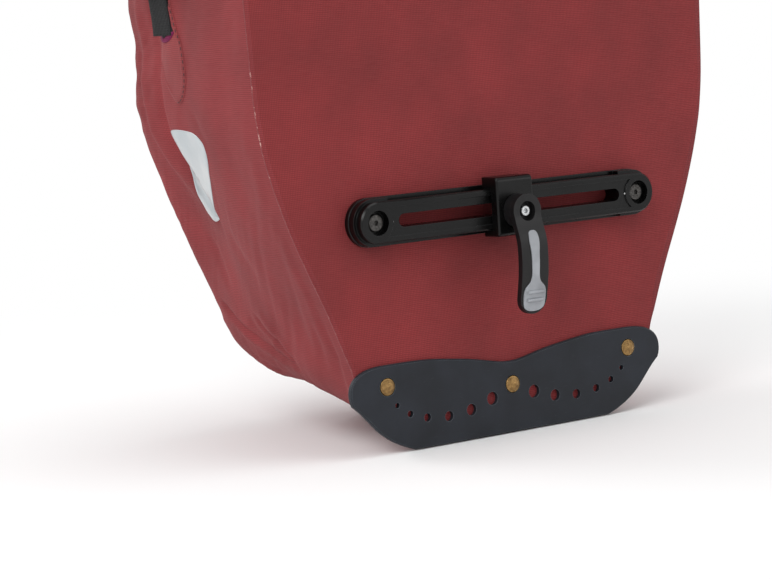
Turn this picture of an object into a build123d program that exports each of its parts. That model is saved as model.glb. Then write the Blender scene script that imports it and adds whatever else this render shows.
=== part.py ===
from build123d import *
import math
import os

# Roll-top bicycle pannier bag with its rails, hooks, anti-sway fin, handle and side buckles.
# Millimetres. +Z up, +X along the bag's width, -Y towards the bicycle's rack; left is -X.
# Origin: centre of the flat strip the floor rests on.
# "Outer" on the rails, hooks and fin means the side towards the rack (-Y).
# Cutting tools run past the surfaces they open, mostly by 1 mm.

# ---------------------------------------------------------------- dimensions
BACK_Y = -84.0          # outer face of the flat back panel
SKIN = 1.3              # coated fabric, hemmed and welded thickness
BACK_T = 1.4            # back panel fabric
BACK_INNER_Y = BACK_Y + BACK_T
FLOOR_DROP = 0.4        # the floor's flat strip is planed off by this much

# right edge of the back panel (shield outline): half width, height
OUTLINE = [
    (0, 0.0), (25, 0.1), (48, 0.4), (66, 2.0), (82, 7.5), (93.5, 17), (99.5, 30),
    (103, 46), (107.3, 56.5), (112.4, 69.5), (118.4, 83.5), (126, 100), (133, 116),
    (139.5, 133), (145, 150), (149.4, 168), (152, 190), (153, 215), (154, 245), (155, 280),
]
OUTLINE_TOP = OUTLINE[-1][1]

# stations through the bag's depth: distance from the back, width factor, corner lift,
# floor lift, roof height, roof corner radius
PROFILE = [
    (0.0, 1.000, 0.0, 0.0, 345.0, 14.0),
    (14.0, 1.004, 7.5, 0.0, 355.0, 22.0),
    (30.0, 1.008, 14.5, 0.0, 366.0, 32.0),
    (50.0, 1.003, 19.0, 0.0, 376.0, 40.0),
    (68.0, 0.986, 23.0, 0.0, 379.0, 44.0),
    (84.0, 0.966, 26.0, 0.0, 379.6, 46.0),
    (100.0, 0.949, 28.0, 0.4, 379.0, 48.0),
    (116.0, 0.928, 28.6, 2.2, 372.0, 52.0),
    (132.0, 0.903, 30.0, 5.5, 354.0, 56.0),
    (146.0, 0.876, 33.0, 10.5, 328.0, 60.0),
    (157.0, 0.848, 37.0, 17.5, 300.0, 64.0),
    (165.0, 0.815, 43.0, 27.0, 272.0, 66.0),
    (170.0, 0.770, 52.0, 38.0, 250.0, 66.0),
    (173.0, 0.690, 68.0, 56.0, 228.0, 60.0),
]

# offset copies of the bag are scaled about this height, by offset over half size
SCALE_Z = 185.0
HALF_SIZE = (150.0, 87.0, 186.0)

# seams between the fabric pieces
GUSSET_Y = 56.0
COLLAR_Z = 300.0
FLOOR_X = 66.0
FLOOR_TOP_Z = 90.0

# rails: an outer bar on a narrower neck on a wider flange
RAIL_R = 11.0           # half height of the outer bar
RAIL_STEP = 2.0         # flange beyond the bar, neck within it
FLANGE_Y = BACK_Y - 3.0
NECK_Y = FLANGE_Y - 4.5
RAIL_FACE_Y = NECK_Y - 5.0
LOWER_RAIL_Z = 123.5
LOWER_SCREW_X = 89.1
UPPER_RAIL_Z = 334.0
UPPER_SCREW_X = 117.0
SCREW_SEAT_Y = RAIL_FACE_Y + 5.0
SCREW_HOLE_R = 2.2

# faces of the parts that slide on the rails
CLEARANCE = 0.25
SLIDE_Y = RAIL_FACE_Y - CLEARANCE       # against the rail's outer face
CLAW_Y = NECK_Y + CLEARANCE             # behind the rail's outer bar

# upper hooks
HOOK_X = 75.0
HOOK_W = 24.0
TUBE_Y = -118.0
TUBE_Z = 318.0
SEAT_R = 6.05           # insert seat for a 12 mm rack tube
THROAT_R = 8.0          # hook throat for a 16 mm rack tube
HOOK_R = THROAT_R + 4.0
WALL_Y = TUBE_Y + THROAT_R              # inner wall face beside the tube
SLOT_HALF = 5.2         # slot for the latch and the handle strap
LATCH_Y = WALL_Y + 3.4  # latch pivot
LATCH_Z = TUBE_Z - 6.6

FAR = 400               # reach of the trimming boxes
HIGH = 600

parts = {}


# ---------------------------------------------------------------- helpers
def pchip(xs, ys):
    """Monotone cubic interpolation through (xs, ys)."""
    count = len(xs)
    steps = [xs[i + 1] - xs[i] for i in range(count - 1)]
    slopes = [(ys[i + 1] - ys[i]) / steps[i] for i in range(count - 1)]
    tangents = [0.0] * count
    tangents[0], tangents[-1] = slopes[0], slopes[-1]
    for i in range(1, count - 1):
        if slopes[i - 1] * slopes[i] > 0:
            before = 2 * steps[i] + steps[i - 1]
            after = steps[i] + 2 * steps[i - 1]
            tangents[i] = (before + after) / (before / slopes[i - 1] + after / slopes[i])

    def curve(x):
        x = min(max(x, xs[0]), xs[-1])
        i = 0
        while i < count - 2 and x > xs[i + 1]:
            i += 1
        t = (x - xs[i]) / steps[i]
        return ((2 * t**3 - 3 * t**2 + 1) * ys[i]
                + (t**3 - 2 * t**2 + t) * steps[i] * tangents[i]
                + (-2 * t**3 + 3 * t**2) * ys[i + 1]
                + (t**3 - t**2) * steps[i] * tangents[i + 1])
    return curve


def smoothstep(x, start, end):
    t = min(max((x - start) / (end - start), 0.0), 1.0)
    return t * t * (3 - 2 * t)


def box(x0, x1, y0, y1, z0, z1):
    return Pos((x0 + x1) / 2, (y0 + y1) / 2, (z0 + z1) / 2) * Box(x1 - x0, y1 - y0, z1 - z0)


def rod_y(x, z, radius, y0, y1):
    """Cylinder along Y from y0 to y1."""
    return Pos(x, (y0 + y1) / 2, z) * Rot(90, 0, 0) * Cylinder(radius, abs(y1 - y0))


def rod_x(y, z, radius, x0, x1):
    return Pos((x0 + x1) / 2, y, z) * Rot(0, 90, 0) * Cylinder(radius, abs(x1 - x0))


def extrude_outline(vectors, direction, smooth):
    if smooth:
        outline = Wire([Edge.make_spline(vectors, periodic=True)])
    else:
        outline = Wire.make_polygon(vectors, close=True)
    return Solid.extrude(Face(outline), direction)


def slab_y(points, y0, y1, smooth=False):
    """Closed XZ outline extruded from y0 to y1."""
    return extrude_outline([Vector(x, y0, z) for x, z in points], Vector(0, y1 - y0, 0), smooth)


def slab_x(points, x0, x1, smooth=False):
    """Closed YZ outline extruded from x0 to x1."""
    return extrude_outline([Vector(x0, y, z) for y, z in points], Vector(x1 - x0, 0, 0), smooth)


def stadium(half_len, radius, y0, y1, z):
    """Round-ended bar along X, extruded from y0 to y1."""
    centre_x = half_len - radius
    bar = box(-centre_x, centre_x, y0, y1, z - radius, z + radius)
    return bar + rod_y(-centre_x, z, radius, y0, y1) + rod_y(centre_x, z, radius, y0, y1)


def hexagon(x, y, z, radius, half_len):
    """Hexagonal prism along Y, centred on y."""
    return Pos(x, y, z) * Rot(90, 0, 0) * extrude(RegularPolygon(radius, 6), half_len, both=True)


def round_head(x, z, radius, y0, y1, rounding):
    """Disc along Y with its -Y rim rounded."""
    head = rod_y(x, z, radius, y0, y1)
    return fillet(head.edges().group_by(Axis.Y)[0], rounding)


def one(shape):
    """Largest single solid of a shape."""
    return sorted(shape.solids(), key=lambda solid: solid.volume)[-1]


def add_pair(name, left):
    """Record a left piece and its mirror image on the right."""
    parts["left_" + name] = left
    parts["right_" + name] = mirror(left, about=Plane.YZ)


# ---------------------------------------------------------------- bag shell
arc_lengths = [0.0]
for start, end in zip(OUTLINE[:-1], OUTLINE[1:]):
    arc_lengths.append(arc_lengths[-1] + math.hypot(end[0] - start[0], end[1] - start[1]))
outline_x = pchip(arc_lengths, [point[0] for point in OUTLINE])
outline_z = pchip(arc_lengths, [point[1] for point in OUTLINE])
stations = [row[0] for row in PROFILE]
profile_curves = [pchip(stations, [row[k] for row in PROFILE]) for k in range(1, 6)]


def half_section(distance, low_count, arc_count):
    """Right half of the bag's outline at a distance from the back, floor to roof."""
    width, corner_lift, floor_lift, roof_z, roof_r = [curve(distance) for curve in profile_curves]
    points = []
    for i in range(low_count):
        length = arc_lengths[-1] * i / (low_count - 1)
        x, z = outline_x(length), outline_z(length)
        narrowing = smoothstep(distance, 60, 150)
        blend = smoothstep(x, 14 - 10 * narrowing, 80 - 14 * narrowing)
        floor = corner_lift * blend + floor_lift * (1 - blend)
        top = min(OUTLINE_TOP, roof_z - roof_r - 5)
        points.append((x * width, floor + z * (top - floor) / OUTLINE_TOP))
    side_x, side_z = points[-1]
    # the side runs up to the roof corner, then a quarter arc onto the flat roof
    arc_z = roof_z - roof_r
    for i in range(1, 3):
        points.append((side_x, side_z + (arc_z - side_z) * i / 2.0))
    for i in range(1, arc_count + 1):
        angle = math.pi / 2 * i / arc_count
        points.append((side_x - roof_r + roof_r * math.cos(angle),
                       arc_z + roof_r * math.sin(angle)))
    return points


def bag_wire(distance, factors=(1.0, 1.0, 1.0), low_count=17, arc_count=5):
    """Spline round floor and sides, closed by a straight roof."""
    half = half_section(distance, low_count, arc_count)
    full = [(-x, z) for x, z in reversed(half)] + half[1:]
    vectors = [Vector(x * factors[0], (BACK_Y + distance) * factors[1],
                      SCALE_Z + (z - FLOOR_DROP - SCALE_Z) * factors[2]) for x, z in full]
    return Wire([Edge.make_spline(vectors), Edge.make_line(vectors[-1], vectors[0])])


def loft_bag(side=0.0, rest=0.0):
    """Bag body offset by about side in X and rest in Y and Z."""
    factors = [1 + grow / half for grow, half in zip((side, rest, rest), HALF_SIZE)]
    return Solid.make_loft([bag_wire(distance, factors) for distance in stations])


above_floor = box(-FAR, FAR, -FAR, FAR, 0, HIGH)
shell = (loft_bag() & above_floor) - loft_bag(-SKIN, -SKIN)
# the flat back panel replaces the slice of the shell behind it
shell = shell & box(-FAR, FAR, BACK_INNER_Y, FAR, -10, HIGH)

parts["front_panel"] = one(shell & box(-FAR, FAR, GUSSET_Y, FAR, -10, HIGH))
rest = shell & box(-FAR, FAR, -FAR, GUSSET_Y, -10, HIGH)
parts["top_collar"] = one(rest & box(-FAR, FAR, -FAR, FAR, COLLAR_Z, HIGH))
lower = rest & box(-FAR, FAR, -FAR, FAR, -10, COLLAR_Z)
parts["bottom_panel"] = one(lower & box(-FLOOR_X, FLOOR_X, -FAR, FAR, -10, FLOOR_TOP_Z))
parts["right_gusset"] = one(lower & box(FLOOR_X, FAR, -FAR, FAR, -10, COLLAR_Z))
parts["left_gusset"] = one(lower & box(-FAR, -FLOOR_X, -FAR, FAR, -10, COLLAR_Z))

# back panel: flat, the outline of the first station; its holes are cut further down
back_outline = Face(bag_wire(0.0, low_count=33, arc_count=7))
back_panel = Solid.extrude(back_outline, Vector(0, BACK_T, 0)) & above_floor

# ---------------------------------------------------------------- edge protector and rivets
PROTECTOR_T = 2.5
PROTECTOR_Y = BACK_Y - PROTECTOR_T
PROTECTOR_FLAT = 67     # half length of the straight bottom edge
# right half of the outline: half width, height
PROTECTOR_LOWER = [(PROTECTOR_FLAT, 0.0), (76, 3.4), (89, 11.5), (98, 20.8), (105.6, 27.8)]
PROTECTOR_UPPER = [
    (105.6, 27.8), (107, 33), (105.4, 40), (101, 44), (91.5, 46.9), (79, 47.4),
    (56.5, 47), (38, 45), (19, 42), (0, 39),
]
# through holes, repeated on both sides: x, z, radius
PROTECTOR_HOLES = [
    (77.8, 25.2, 1.5), (69.7, 19.6, 1.9), (58.7, 16.1, 2.3),
    (44.3, 14.8, 2.8), (29.1, 16.2, 3.25), (14.5, 20.3, 3.7),
]
RIVETS = [(-83.4, 35.9), (83.4, 35.9), (0.0, 26.3)]
RIVET_SEAT_Y = PROTECTOR_Y + 1.4
RIVET_RECESS_R = 5.05
RIVET_HOLE_R = 2.1
RIVET_HEAD_R = 4.6
RIVET_R = 1.9
RIVET_TAIL_R = 3.2
WASHER_R = 5.5
WASHER_BORE_R = 2.05
WASHER_Y = BACK_INNER_Y + 0.8           # washer's face inside the bag


def protector_edge(points, sign=1):
    return Edge.make_spline([Vector(sign * x, PROTECTOR_Y, z) for x, z in points])


upper_edge = protector_edge(
    PROTECTOR_UPPER + [(-x, z) for x, z in reversed(PROTECTOR_UPPER[:-1])])
bottom_edge = Edge.make_line(Vector(-PROTECTOR_FLAT, PROTECTOR_Y, 0),
                             Vector(PROTECTOR_FLAT, PROTECTOR_Y, 0))
protector_wire = Wire([bottom_edge, protector_edge(PROTECTOR_LOWER),
                       upper_edge, protector_edge(PROTECTOR_LOWER, -1)])
protector = Solid.extrude(Face(protector_wire), Vector(0, PROTECTOR_T, 0))
# guards the chamfer along the splined rim: the rim stays sharp if it cannot be built
try:
    protector = chamfer(protector.faces().sort_by(Axis.Y)[0].edges(), 0.7)
except Exception:
    pass
for x, z, radius in PROTECTOR_HOLES:
    for sign in (-1, 1):
        protector -= rod_y(sign * x, z, radius, PROTECTOR_Y - 1, BACK_Y + 1)
for x, z in RIVETS:
    protector -= rod_y(x, z, RIVET_RECESS_R, PROTECTOR_Y - 1, RIVET_SEAT_Y)
    protector -= rod_y(x, z, RIVET_HOLE_R, PROTECTOR_Y - 1, BACK_Y + 1)
    back_panel -= rod_y(x, z, RIVET_HOLE_R, BACK_Y - 1, BACK_INNER_Y + 1)
parts["edge_protector"] = protector


def rivet(x, z):
    head = round_head(x, z, RIVET_HEAD_R, RIVET_SEAT_Y - 1.5, RIVET_SEAT_Y, 0.9)
    shank = rod_y(x, z, RIVET_R, RIVET_SEAT_Y, WASHER_Y)
    return one(head + shank + rod_y(x, z, RIVET_TAIL_R, WASHER_Y, WASHER_Y + 1.0))


def rivet_washer(x, z):
    bore = rod_y(x, z, WASHER_BORE_R, BACK_INNER_Y - 1, BACK_INNER_Y + 2)
    return one(rod_y(x, z, WASHER_R, BACK_INNER_Y, WASHER_Y) - bore)


parts["protector_rivets"] = Compound(children=[rivet(*place) for place in RIVETS])
parts["rivet_washers"] = Compound(children=[rivet_washer(*place) for place in RIVETS])

# ---------------------------------------------------------------- rails
RECESS_R = 6.6          # screw recess
BAND_HALF = 7.75        # shallow band along the middle of the outer face
BAND_END_R = 9.5
BAND_DEPTH = 0.8
RAIL_SLOT_R = 3.5
SLOT_TO_SCREW = 13.5


def rail(z, half_len, screw_x, groove_half):
    flange = stadium(half_len + RAIL_STEP, RAIL_R + RAIL_STEP, FLANGE_Y, BACK_Y, z)
    neck = stadium(half_len - RAIL_STEP, RAIL_R - RAIL_STEP, NECK_Y, FLANGE_Y, z)
    # the side grooves stop short of both ends, which are solid
    ends = stadium(half_len + 1.6, RAIL_R + 1.6, NECK_Y, FLANGE_Y, z)
    ends -= box(-groove_half, groove_half, NECK_Y - 1, FLANGE_Y + 1, z - 20, z + 20)
    bar = stadium(half_len, RAIL_R, RAIL_FACE_Y, NECK_Y, z)
    bar = chamfer(bar.edges().group_by(Axis.Y)[0], 0.9)
    body = flange + neck + ends + bar
    # the band's ends are concentric with the screw recesses
    band = box(-screw_x, screw_x, RAIL_FACE_Y - 1, RAIL_FACE_Y + BAND_DEPTH,
               z - BAND_HALF, z + BAND_HALF)
    for sign in (-1, 1):
        band -= rod_y(sign * screw_x, z, BAND_END_R, RAIL_FACE_Y - 2, RAIL_FACE_Y + 2)
        band -= box(*sorted((sign * screw_x, sign * (screw_x + 30))),
                    RAIL_FACE_Y - 2, RAIL_FACE_Y + 2, z - 20, z + 20)
    body -= band
    body -= stadium(screw_x - SLOT_TO_SCREW, RAIL_SLOT_R, RAIL_FACE_Y - 1, BACK_Y + 1, z)
    for sign in (-1, 1):
        body -= rod_y(sign * screw_x, z, RECESS_R, RAIL_FACE_Y - 1, SCREW_SEAT_Y)
        body -= rod_y(sign * screw_x, z, SCREW_HOLE_R, RAIL_FACE_Y - 1, BACK_Y + 1)
    return one(body)


parts["lower_rail"] = rail(LOWER_RAIL_Z, half_len=100.0, screw_x=LOWER_SCREW_X, groove_half=79.0)
parts["upper_rail"] = rail(UPPER_RAIL_Z, half_len=128.0, screw_x=UPPER_SCREW_X, groove_half=112.0)

# ---------------------------------------------------------------- stiffener board, rail screws
BOARD_Y0 = BACK_INNER_Y + 0.4
BOARD_Y1 = BOARD_Y0 + 1.5
# board inside the back panel, spanning both rails: x, z
BOARD_OUTLINE = [
    (-96, 100), (96, 100), (132, 160), (134, 336),
    (126, 344), (-126, 344), (-134, 336), (-132, 160),
]
LOWER_SCREWS = [(-LOWER_SCREW_X, LOWER_RAIL_Z), (LOWER_SCREW_X, LOWER_RAIL_Z)]
UPPER_SCREWS = [(-UPPER_SCREW_X, UPPER_RAIL_Z), (UPPER_SCREW_X, UPPER_RAIL_Z)]
RAIL_SCREWS = LOWER_SCREWS + UPPER_SCREWS
SCREW_HEAD_Y = SCREW_SEAT_Y - 2.6
NUT_FLANGE_Y = BOARD_Y1 + 1.2


def rail_screw(x, z):
    head = round_head(x, z, 4.6, SCREW_HEAD_Y, SCREW_SEAT_Y, 0.8)
    shank = rod_y(x, z, 2.0, SCREW_SEAT_Y, BOARD_Y1 + 3.4)
    return one(head + shank - hexagon(x, SCREW_HEAD_Y, z, 1.5, 1.4))


def rail_nut(x, z):
    """Flange against the board, with a narrower barrel."""
    nut = rod_y(x, z, 6.5, BOARD_Y1, NUT_FLANGE_Y)
    nut += rod_y(x, z, 3.4, NUT_FLANGE_Y, BOARD_Y1 + 3.2)
    return one(nut - rod_y(x, z, 2.06, BOARD_Y1 - 1, BOARD_Y1 + 5))


board = slab_y(BOARD_OUTLINE, BOARD_Y0, BOARD_Y1)
for x, z in RAIL_SCREWS:
    back_panel -= rod_y(x, z, SCREW_HOLE_R, BACK_Y - 1, BACK_INNER_Y + 1)
    board -= rod_y(x, z, SCREW_HOLE_R, BOARD_Y0 - 1, BOARD_Y1 + 1)
parts["back_panel"] = one(back_panel)
parts["stiffener_board"] = one(board)
parts["lower_rail_screws"] = Compound(children=[rail_screw(*place) for place in LOWER_SCREWS])
parts["upper_rail_screws"] = Compound(children=[rail_screw(*place) for place in UPPER_SCREWS])
parts["rail_nuts"] = Compound(children=[rail_nut(*place) for place in RAIL_SCREWS])

# ---------------------------------------------------------------- inner pocket
# flat pouch on the board's inner face, open at its top
POCKET_HALF = 104
POCKET_WALL = 1.0
POCKET_Y0, POCKET_Y1 = BOARD_Y1 + 0.4, BOARD_Y1 + 7.4
POCKET_Z0, POCKET_Z1 = 152, 300

pouch = box(-POCKET_HALF, POCKET_HALF, POCKET_Y0, POCKET_Y1, POCKET_Z0, POCKET_Z1)
pouch = fillet(pouch.edges().filter_by(Axis.Y), 10)
hollow_half = POCKET_HALF - POCKET_WALL
hollow = box(-hollow_half, hollow_half, POCKET_Y0 + POCKET_WALL, POCKET_Y1 - POCKET_WALL,
             POCKET_Z0 + POCKET_WALL, POCKET_Z1 + 20)
parts["inner_pocket"] = one(pouch - hollow)

# ---------------------------------------------------------------- lower hook shoe and nut
SHOE_X0, SHOE_X1 = -14.9, 9.8
SHOE_Z0, SHOE_Z1 = 108.7, 140.8
SHOE_OUTER_Y = BACK_Y - 18.0
FIN_X, FIN_Z = -2.2, 122.0              # fin pivot
FIN_BORE_R = 1.56
FIN_NUT_Y = SLIDE_Y - 2.9               # bottom of the nut's pocket


def shoe_channel(y0, y1, half_height):
    return box(SHOE_X0 - 1, SHOE_X1 + 1, y0, y1,
               LOWER_RAIL_Z - half_height, LOWER_RAIL_Z + half_height)


shoe = box(SHOE_X0, SHOE_X1, SHOE_OUTER_Y, CLAW_Y + 2.6, SHOE_Z0, SHOE_Z1)
# guards the upright edges, which meet the outer edges' rounding: a failing fillet is left out
try:
    shoe = fillet(shoe.edges().filter_by(Axis.X).group_by(Axis.Y)[0], 2.6)
    shoe = fillet(shoe.edges().filter_by(Axis.Z), 1.2)
except Exception:
    pass
shoe -= shoe_channel(SLIDE_Y, CLAW_Y, RAIL_R + CLEARANCE)
shoe -= shoe_channel(CLAW_Y - 1, CLAW_Y + 5, RAIL_R - RAIL_STEP + CLEARANCE)
shoe -= rod_y(FIN_X, FIN_Z, 1.6, SHOE_OUTER_Y - 1, SLIDE_Y + 1)
shoe -= hexagon(FIN_X, FIN_NUT_Y + 2, FIN_Z, 3.35, 2.0)
parts["hook_shoe"] = one(shoe)
nut = hexagon(FIN_X, FIN_NUT_Y + 1.35, FIN_Z, 3.2, 1.2)
parts["fin_nut"] = one(nut - rod_y(FIN_X, FIN_Z, FIN_BORE_R, FIN_NUT_Y - 5, FIN_NUT_Y + 8))

# ---------------------------------------------------------------- anti-sway fin
FIN_T = 3.5
FIN_TIP_Z = 66.6
FIN_HALF_W = 8.9
FIN_HEAD_R = 9.3
FIN_SEAT_Y = BACK_Y - 23.0              # screw head's seat
FIN_CUT_Y = (-140, -90)                 # Y reach of the tools that trim the fin
SHEET_HALF = 40
# outer line of the arm from the side, bowed away from the bag between pivot and tip;
# straight to the second point, then a spline: y from BACK_Y, z from FIN_Z
FIN_LINE = [
    (-27.3, 9.1), (-27.3, 0), (-28.6, -7), (-31.0, -14), (-31.8, -21), (-31.6, -29),
    (-30.2, -39), (-28.2, -49), (-27.3, -55.4),
]
# right half of the inlay's outline, a slim bar with a flared pad below:
# x from FIN_X, z, and the shares of the growth added to x and z
INLAY_HALF = [
    (0, 111.8, 0, 1), (2.2, 111.0, 0.7, 1), (2.95, 109.0, 1, 1), (2.6, 100.0, 1, 0),
    (2.4, 92.0, 1, 0), (2.5, 87.0, 1, 0), (3.6, 84.0, 1, 0), (6.0, 81.6, 1, 0),
    (7.2, 79.0, 1, 0), (7.2, 74.0, 1, 0), (6.5, 70.5, 1, 0), (4.2, 68.8, 0.7, -1),
    (0, 68.2, 0, -1),
]
RIB_HEIGHTS = (78.5, 74.2, 70.0)


def fin_sheet():
    """Full-width bent sheet that the arm and its inlay are cut from."""
    outer = [Vector(-SHEET_HALF, BACK_Y + y, FIN_Z + z) for y, z in FIN_LINE]
    inner = [point + Vector(0, FIN_T, 0) for point in outer]
    wire = Wire([
        Edge.make_line(outer[0], outer[1]), Edge.make_spline(outer[1:]),
        Edge.make_line(outer[-1], inner[-1]), Edge.make_spline(inner[1:]),
        Edge.make_line(inner[0], inner[1]), Edge.make_line(outer[0], inner[0]),
    ])
    return Solid.extrude(Face(wire), Vector(2 * SHEET_HALF, 0, 0))


def inlay_prism(grow):
    half = [(x + grow * x_share, z + grow * z_share) for x, z, x_share, z_share in INLAY_HALF]
    points = [(FIN_X + x, z) for x, z in half]
    points += [(FIN_X - x, z) for x, z in reversed(half[1:-1])]
    return slab_y(points, *FIN_CUT_Y, smooth=True)


sheet = fin_sheet()
tip_centre_z = FIN_TIP_Z + FIN_HALF_W
arm_outline = (box(FIN_X - FIN_HALF_W, FIN_X + FIN_HALF_W, *FIN_CUT_Y, tip_centre_z, FIN_Z)
               + rod_y(FIN_X, tip_centre_z, FIN_HALF_W, *FIN_CUT_Y)
               + rod_y(FIN_X, FIN_Z, FIN_HEAD_R, *FIN_CUT_Y))
fin = one(sheet & arm_outline)
fin = fin + rod_y(FIN_X, FIN_Z, 9.2, BACK_Y - 24.5, SHOE_OUTER_Y - 0.3)
fin -= rod_y(FIN_X, FIN_Z, 5.3, FIN_CUT_Y[0], FIN_SEAT_Y)
fin -= rod_y(FIN_X, FIN_Z, FIN_BORE_R, *FIN_CUT_Y)
# the inlay's pocket is 1.4 deep from the arm's outer face
fin = fin - ((Pos(0, -FIN_T + 1.4, 0) * sheet) & inlay_prism(0.12))
parts["anti_sway_fin"] = one(fin)

# the inlay stands 0.5 proud of the arm, with three ribs across its pad
prism = inlay_prism(0.0)
inlay = (Pos(0, -FIN_T + 1.3, 0) * sheet) & (Pos(0, -0.5, 0) * sheet)
inlay = inlay & prism
for z in RIB_HEIGHTS:
    rib = rod_x(BACK_Y - 29.2 - (z - 70) * 0.11, z, 0.75, FIN_X - 5.2, FIN_X + 5.2)
    inlay = inlay + (rib & prism)
parts["fin_inlay"] = one(inlay)

# pivot screw: socket head in the boss's recess, shank into the nut
head_y = FIN_SEAT_Y - 2.9
screw = round_head(FIN_X, FIN_Z, 2.75, head_y, FIN_SEAT_Y, 0.4)
screw = screw + rod_y(FIN_X, FIN_Z, 1.5, FIN_SEAT_Y, FIN_NUT_Y + 2.6)
screw -= hexagon(FIN_X, head_y, FIN_Z, 1.45, 1.6)
parts["fin_screw"] = one(screw)

# ---------------------------------------------------------------- upper hooks
PIN_HOLE_R = 1.3
CLAW_T = 3.0
CLAW_END_Y = CLAW_Y + 2.4
LEG_TIP_Z = TUBE_Z - 15
SHOULDER_Z = UPPER_RAIL_Z + 14
INSERT_R = THROAT_R - 0.05
INSERT_END_Z = TUBE_Z - 5.0
FINGER_Z = TUBE_Z - SEAT_R - 1.0        # top of the latch's finger
# side outlines: y, z
SHOULDER = [
    (TUBE_Y + 2, TUBE_Z + HOOK_R - 1.5), (SLIDE_Y, TUBE_Z + HOOK_R - 1.5),
    (SLIDE_Y, SHOULDER_Z), (WALL_Y - 0.5, SHOULDER_Z),
]
LEG_FLARE = [
    (TUBE_Y - HOOK_R, TUBE_Z - 14.9), (TUBE_Y - THROAT_R, TUBE_Z - 14.9),
    (TUBE_Y - HOOK_R + 0.8, TUBE_Z - 20.5), (TUBE_Y - HOOK_R - 0.4, TUBE_Z - 20.5),
]
LATCH_FINGER = [
    (LATCH_Y + 1.5, LATCH_Z - 2.6), (LATCH_Y + 1.5, LATCH_Z + 0.5), (LATCH_Y - 3.2, FINGER_Z),
    (TUBE_Y - 3.5, FINGER_Z), (TUBE_Y - 5.6, FINGER_Z - 0.6), (TUBE_Y - 6.2, FINGER_Z - 2.4),
    (TUBE_Y - 4.6, FINGER_Z - 4.2), (LATCH_Y - 3.5, FINGER_Z - 5.0), (LATCH_Y, LATCH_Z - 2.9),
]
LATCH_ARM = [
    (LATCH_Y - 1.0, LATCH_Z - 2.6), (LATCH_Y + 6.2, LATCH_Z - 7.2),
    (LATCH_Y + 8.0, LATCH_Z - 6.6), (LATCH_Y + 8.4, LATCH_Z - 4.9),
    (LATCH_Y + 2.0, LATCH_Z + 1.9),
]


def hook_span(centre_x):
    return centre_x - HOOK_W / 2, centre_x + HOOK_W / 2


def hook_body(centre_x):
    x0, x1 = hook_span(centre_x)
    bar_z0 = UPPER_RAIL_Z - RAIL_R - CLEARANCE
    bar_z1 = UPPER_RAIL_Z + RAIL_R + CLEARANCE
    # arch, outer leg and inner wall
    body = rod_x(TUBE_Y, TUBE_Z, HOOK_R, x0, x1)
    body += box(x0, x1, TUBE_Y, SLIDE_Y, TUBE_Z, TUBE_Z + HOOK_R)
    body += box(x0, x1, TUBE_Y - HOOK_R, TUBE_Y - THROAT_R, LEG_TIP_Z, TUBE_Z)
    body += box(x0, x1, WALL_Y, SLIDE_Y, LEG_TIP_Z, bar_z1 + CLAW_T)
    body -= rod_x(TUBE_Y, TUBE_Z, THROAT_R, x0 - 1, x1 + 1)
    body -= box(x0 - 1, x1 + 1, TUBE_Y - THROAT_R, WALL_Y, TUBE_Z - 30, TUBE_Z)
    # shoulder block that carries the handle strap's guide
    body += slab_x(SHOULDER, x0, x1)
    # claws over and under the rail's outer bar
    body += box(x0, x1, SLIDE_Y - 0.5, CLAW_END_Y, bar_z1, bar_z1 + CLAW_T)
    body += box(x0, x1, CLAW_Y, CLAW_END_Y, bar_z1 - 1.8, bar_z1 + 1.0)
    body += box(x0, x1, SLIDE_Y - 0.5, CLAW_END_Y, bar_z0 - CLAW_T, bar_z0)
    body += box(x0, x1, CLAW_Y, CLAW_END_Y, bar_z0 - 1.0, bar_z0 + 1.8)
    body += slab_x(LEG_FLARE, x0, x1)
    # guards the rounding of the outermost upright edges: they stay sharp if it fails
    try:
        body = fillet(body.edges().filter_by(Axis.Z).group_by(Axis.Y)[0], 1.5)
    except Exception:
        pass
    # slot for the latch and the strap, then the pin hole
    slot = (centre_x - SLOT_HALF, centre_x + SLOT_HALF)
    body -= box(*slot, WALL_Y - 0.01, CLAW_Y + 5, TUBE_Z - 30, TUBE_Z - 1.0)
    body -= box(*slot, SLIDE_Y - 4.6, SLIDE_Y + 1.0, TUBE_Z - 30, UPPER_RAIL_Z + 30)
    body -= rod_x(LATCH_Y, LATCH_Z, PIN_HOLE_R, x0 + 2.0, x1 - 2.0)
    return one(body)


def hook_insert(centre_x):
    """Half-ring lining of the throat, with end flanges above the tube's centre."""
    x0, x1 = hook_span(centre_x)
    insert = rod_x(TUBE_Y, TUBE_Z, INSERT_R, x0, x1)
    insert += box(x0, x1, TUBE_Y - INSERT_R, WALL_Y - 0.05, INSERT_END_Z, TUBE_Z)
    upper_half = box(x0 - 3, x1 + 3, TUBE_Y - 20, TUBE_Y + 20, TUBE_Z, TUBE_Z + 30)
    flanges = (rod_x(TUBE_Y, TUBE_Z, THROAT_R + 2.2, x0 - 1.0, x0 - 0.05)
               + rod_x(TUBE_Y, TUBE_Z, THROAT_R + 2.2, x1 + 0.05, x1 + 1.0)) & upper_half
    bridge = rod_x(TUBE_Y, TUBE_Z, INSERT_R, x0 - 1.0, x1 + 1.0) & upper_half
    insert = insert + flanges + bridge
    insert -= rod_x(TUBE_Y, TUBE_Z, SEAT_R, x0 - 5, x1 + 5)
    insert -= box(x0 - 5, x1 + 5, TUBE_Y - SEAT_R, TUBE_Y + SEAT_R, TUBE_Z - 30, TUBE_Z)
    slot_half = SLOT_HALF + 0.2
    insert -= box(centre_x - slot_half, centre_x + slot_half,
                  TUBE_Y + SEAT_R - 1, WALL_Y + 1, TUBE_Z - 30, TUBE_Z - 0.5)
    insert -= box(x0 - 5, x1 + 5, TUBE_Y - 30, TUBE_Y + 30, TUBE_Z - 30, INSERT_END_Z)
    return one(insert)


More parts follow.
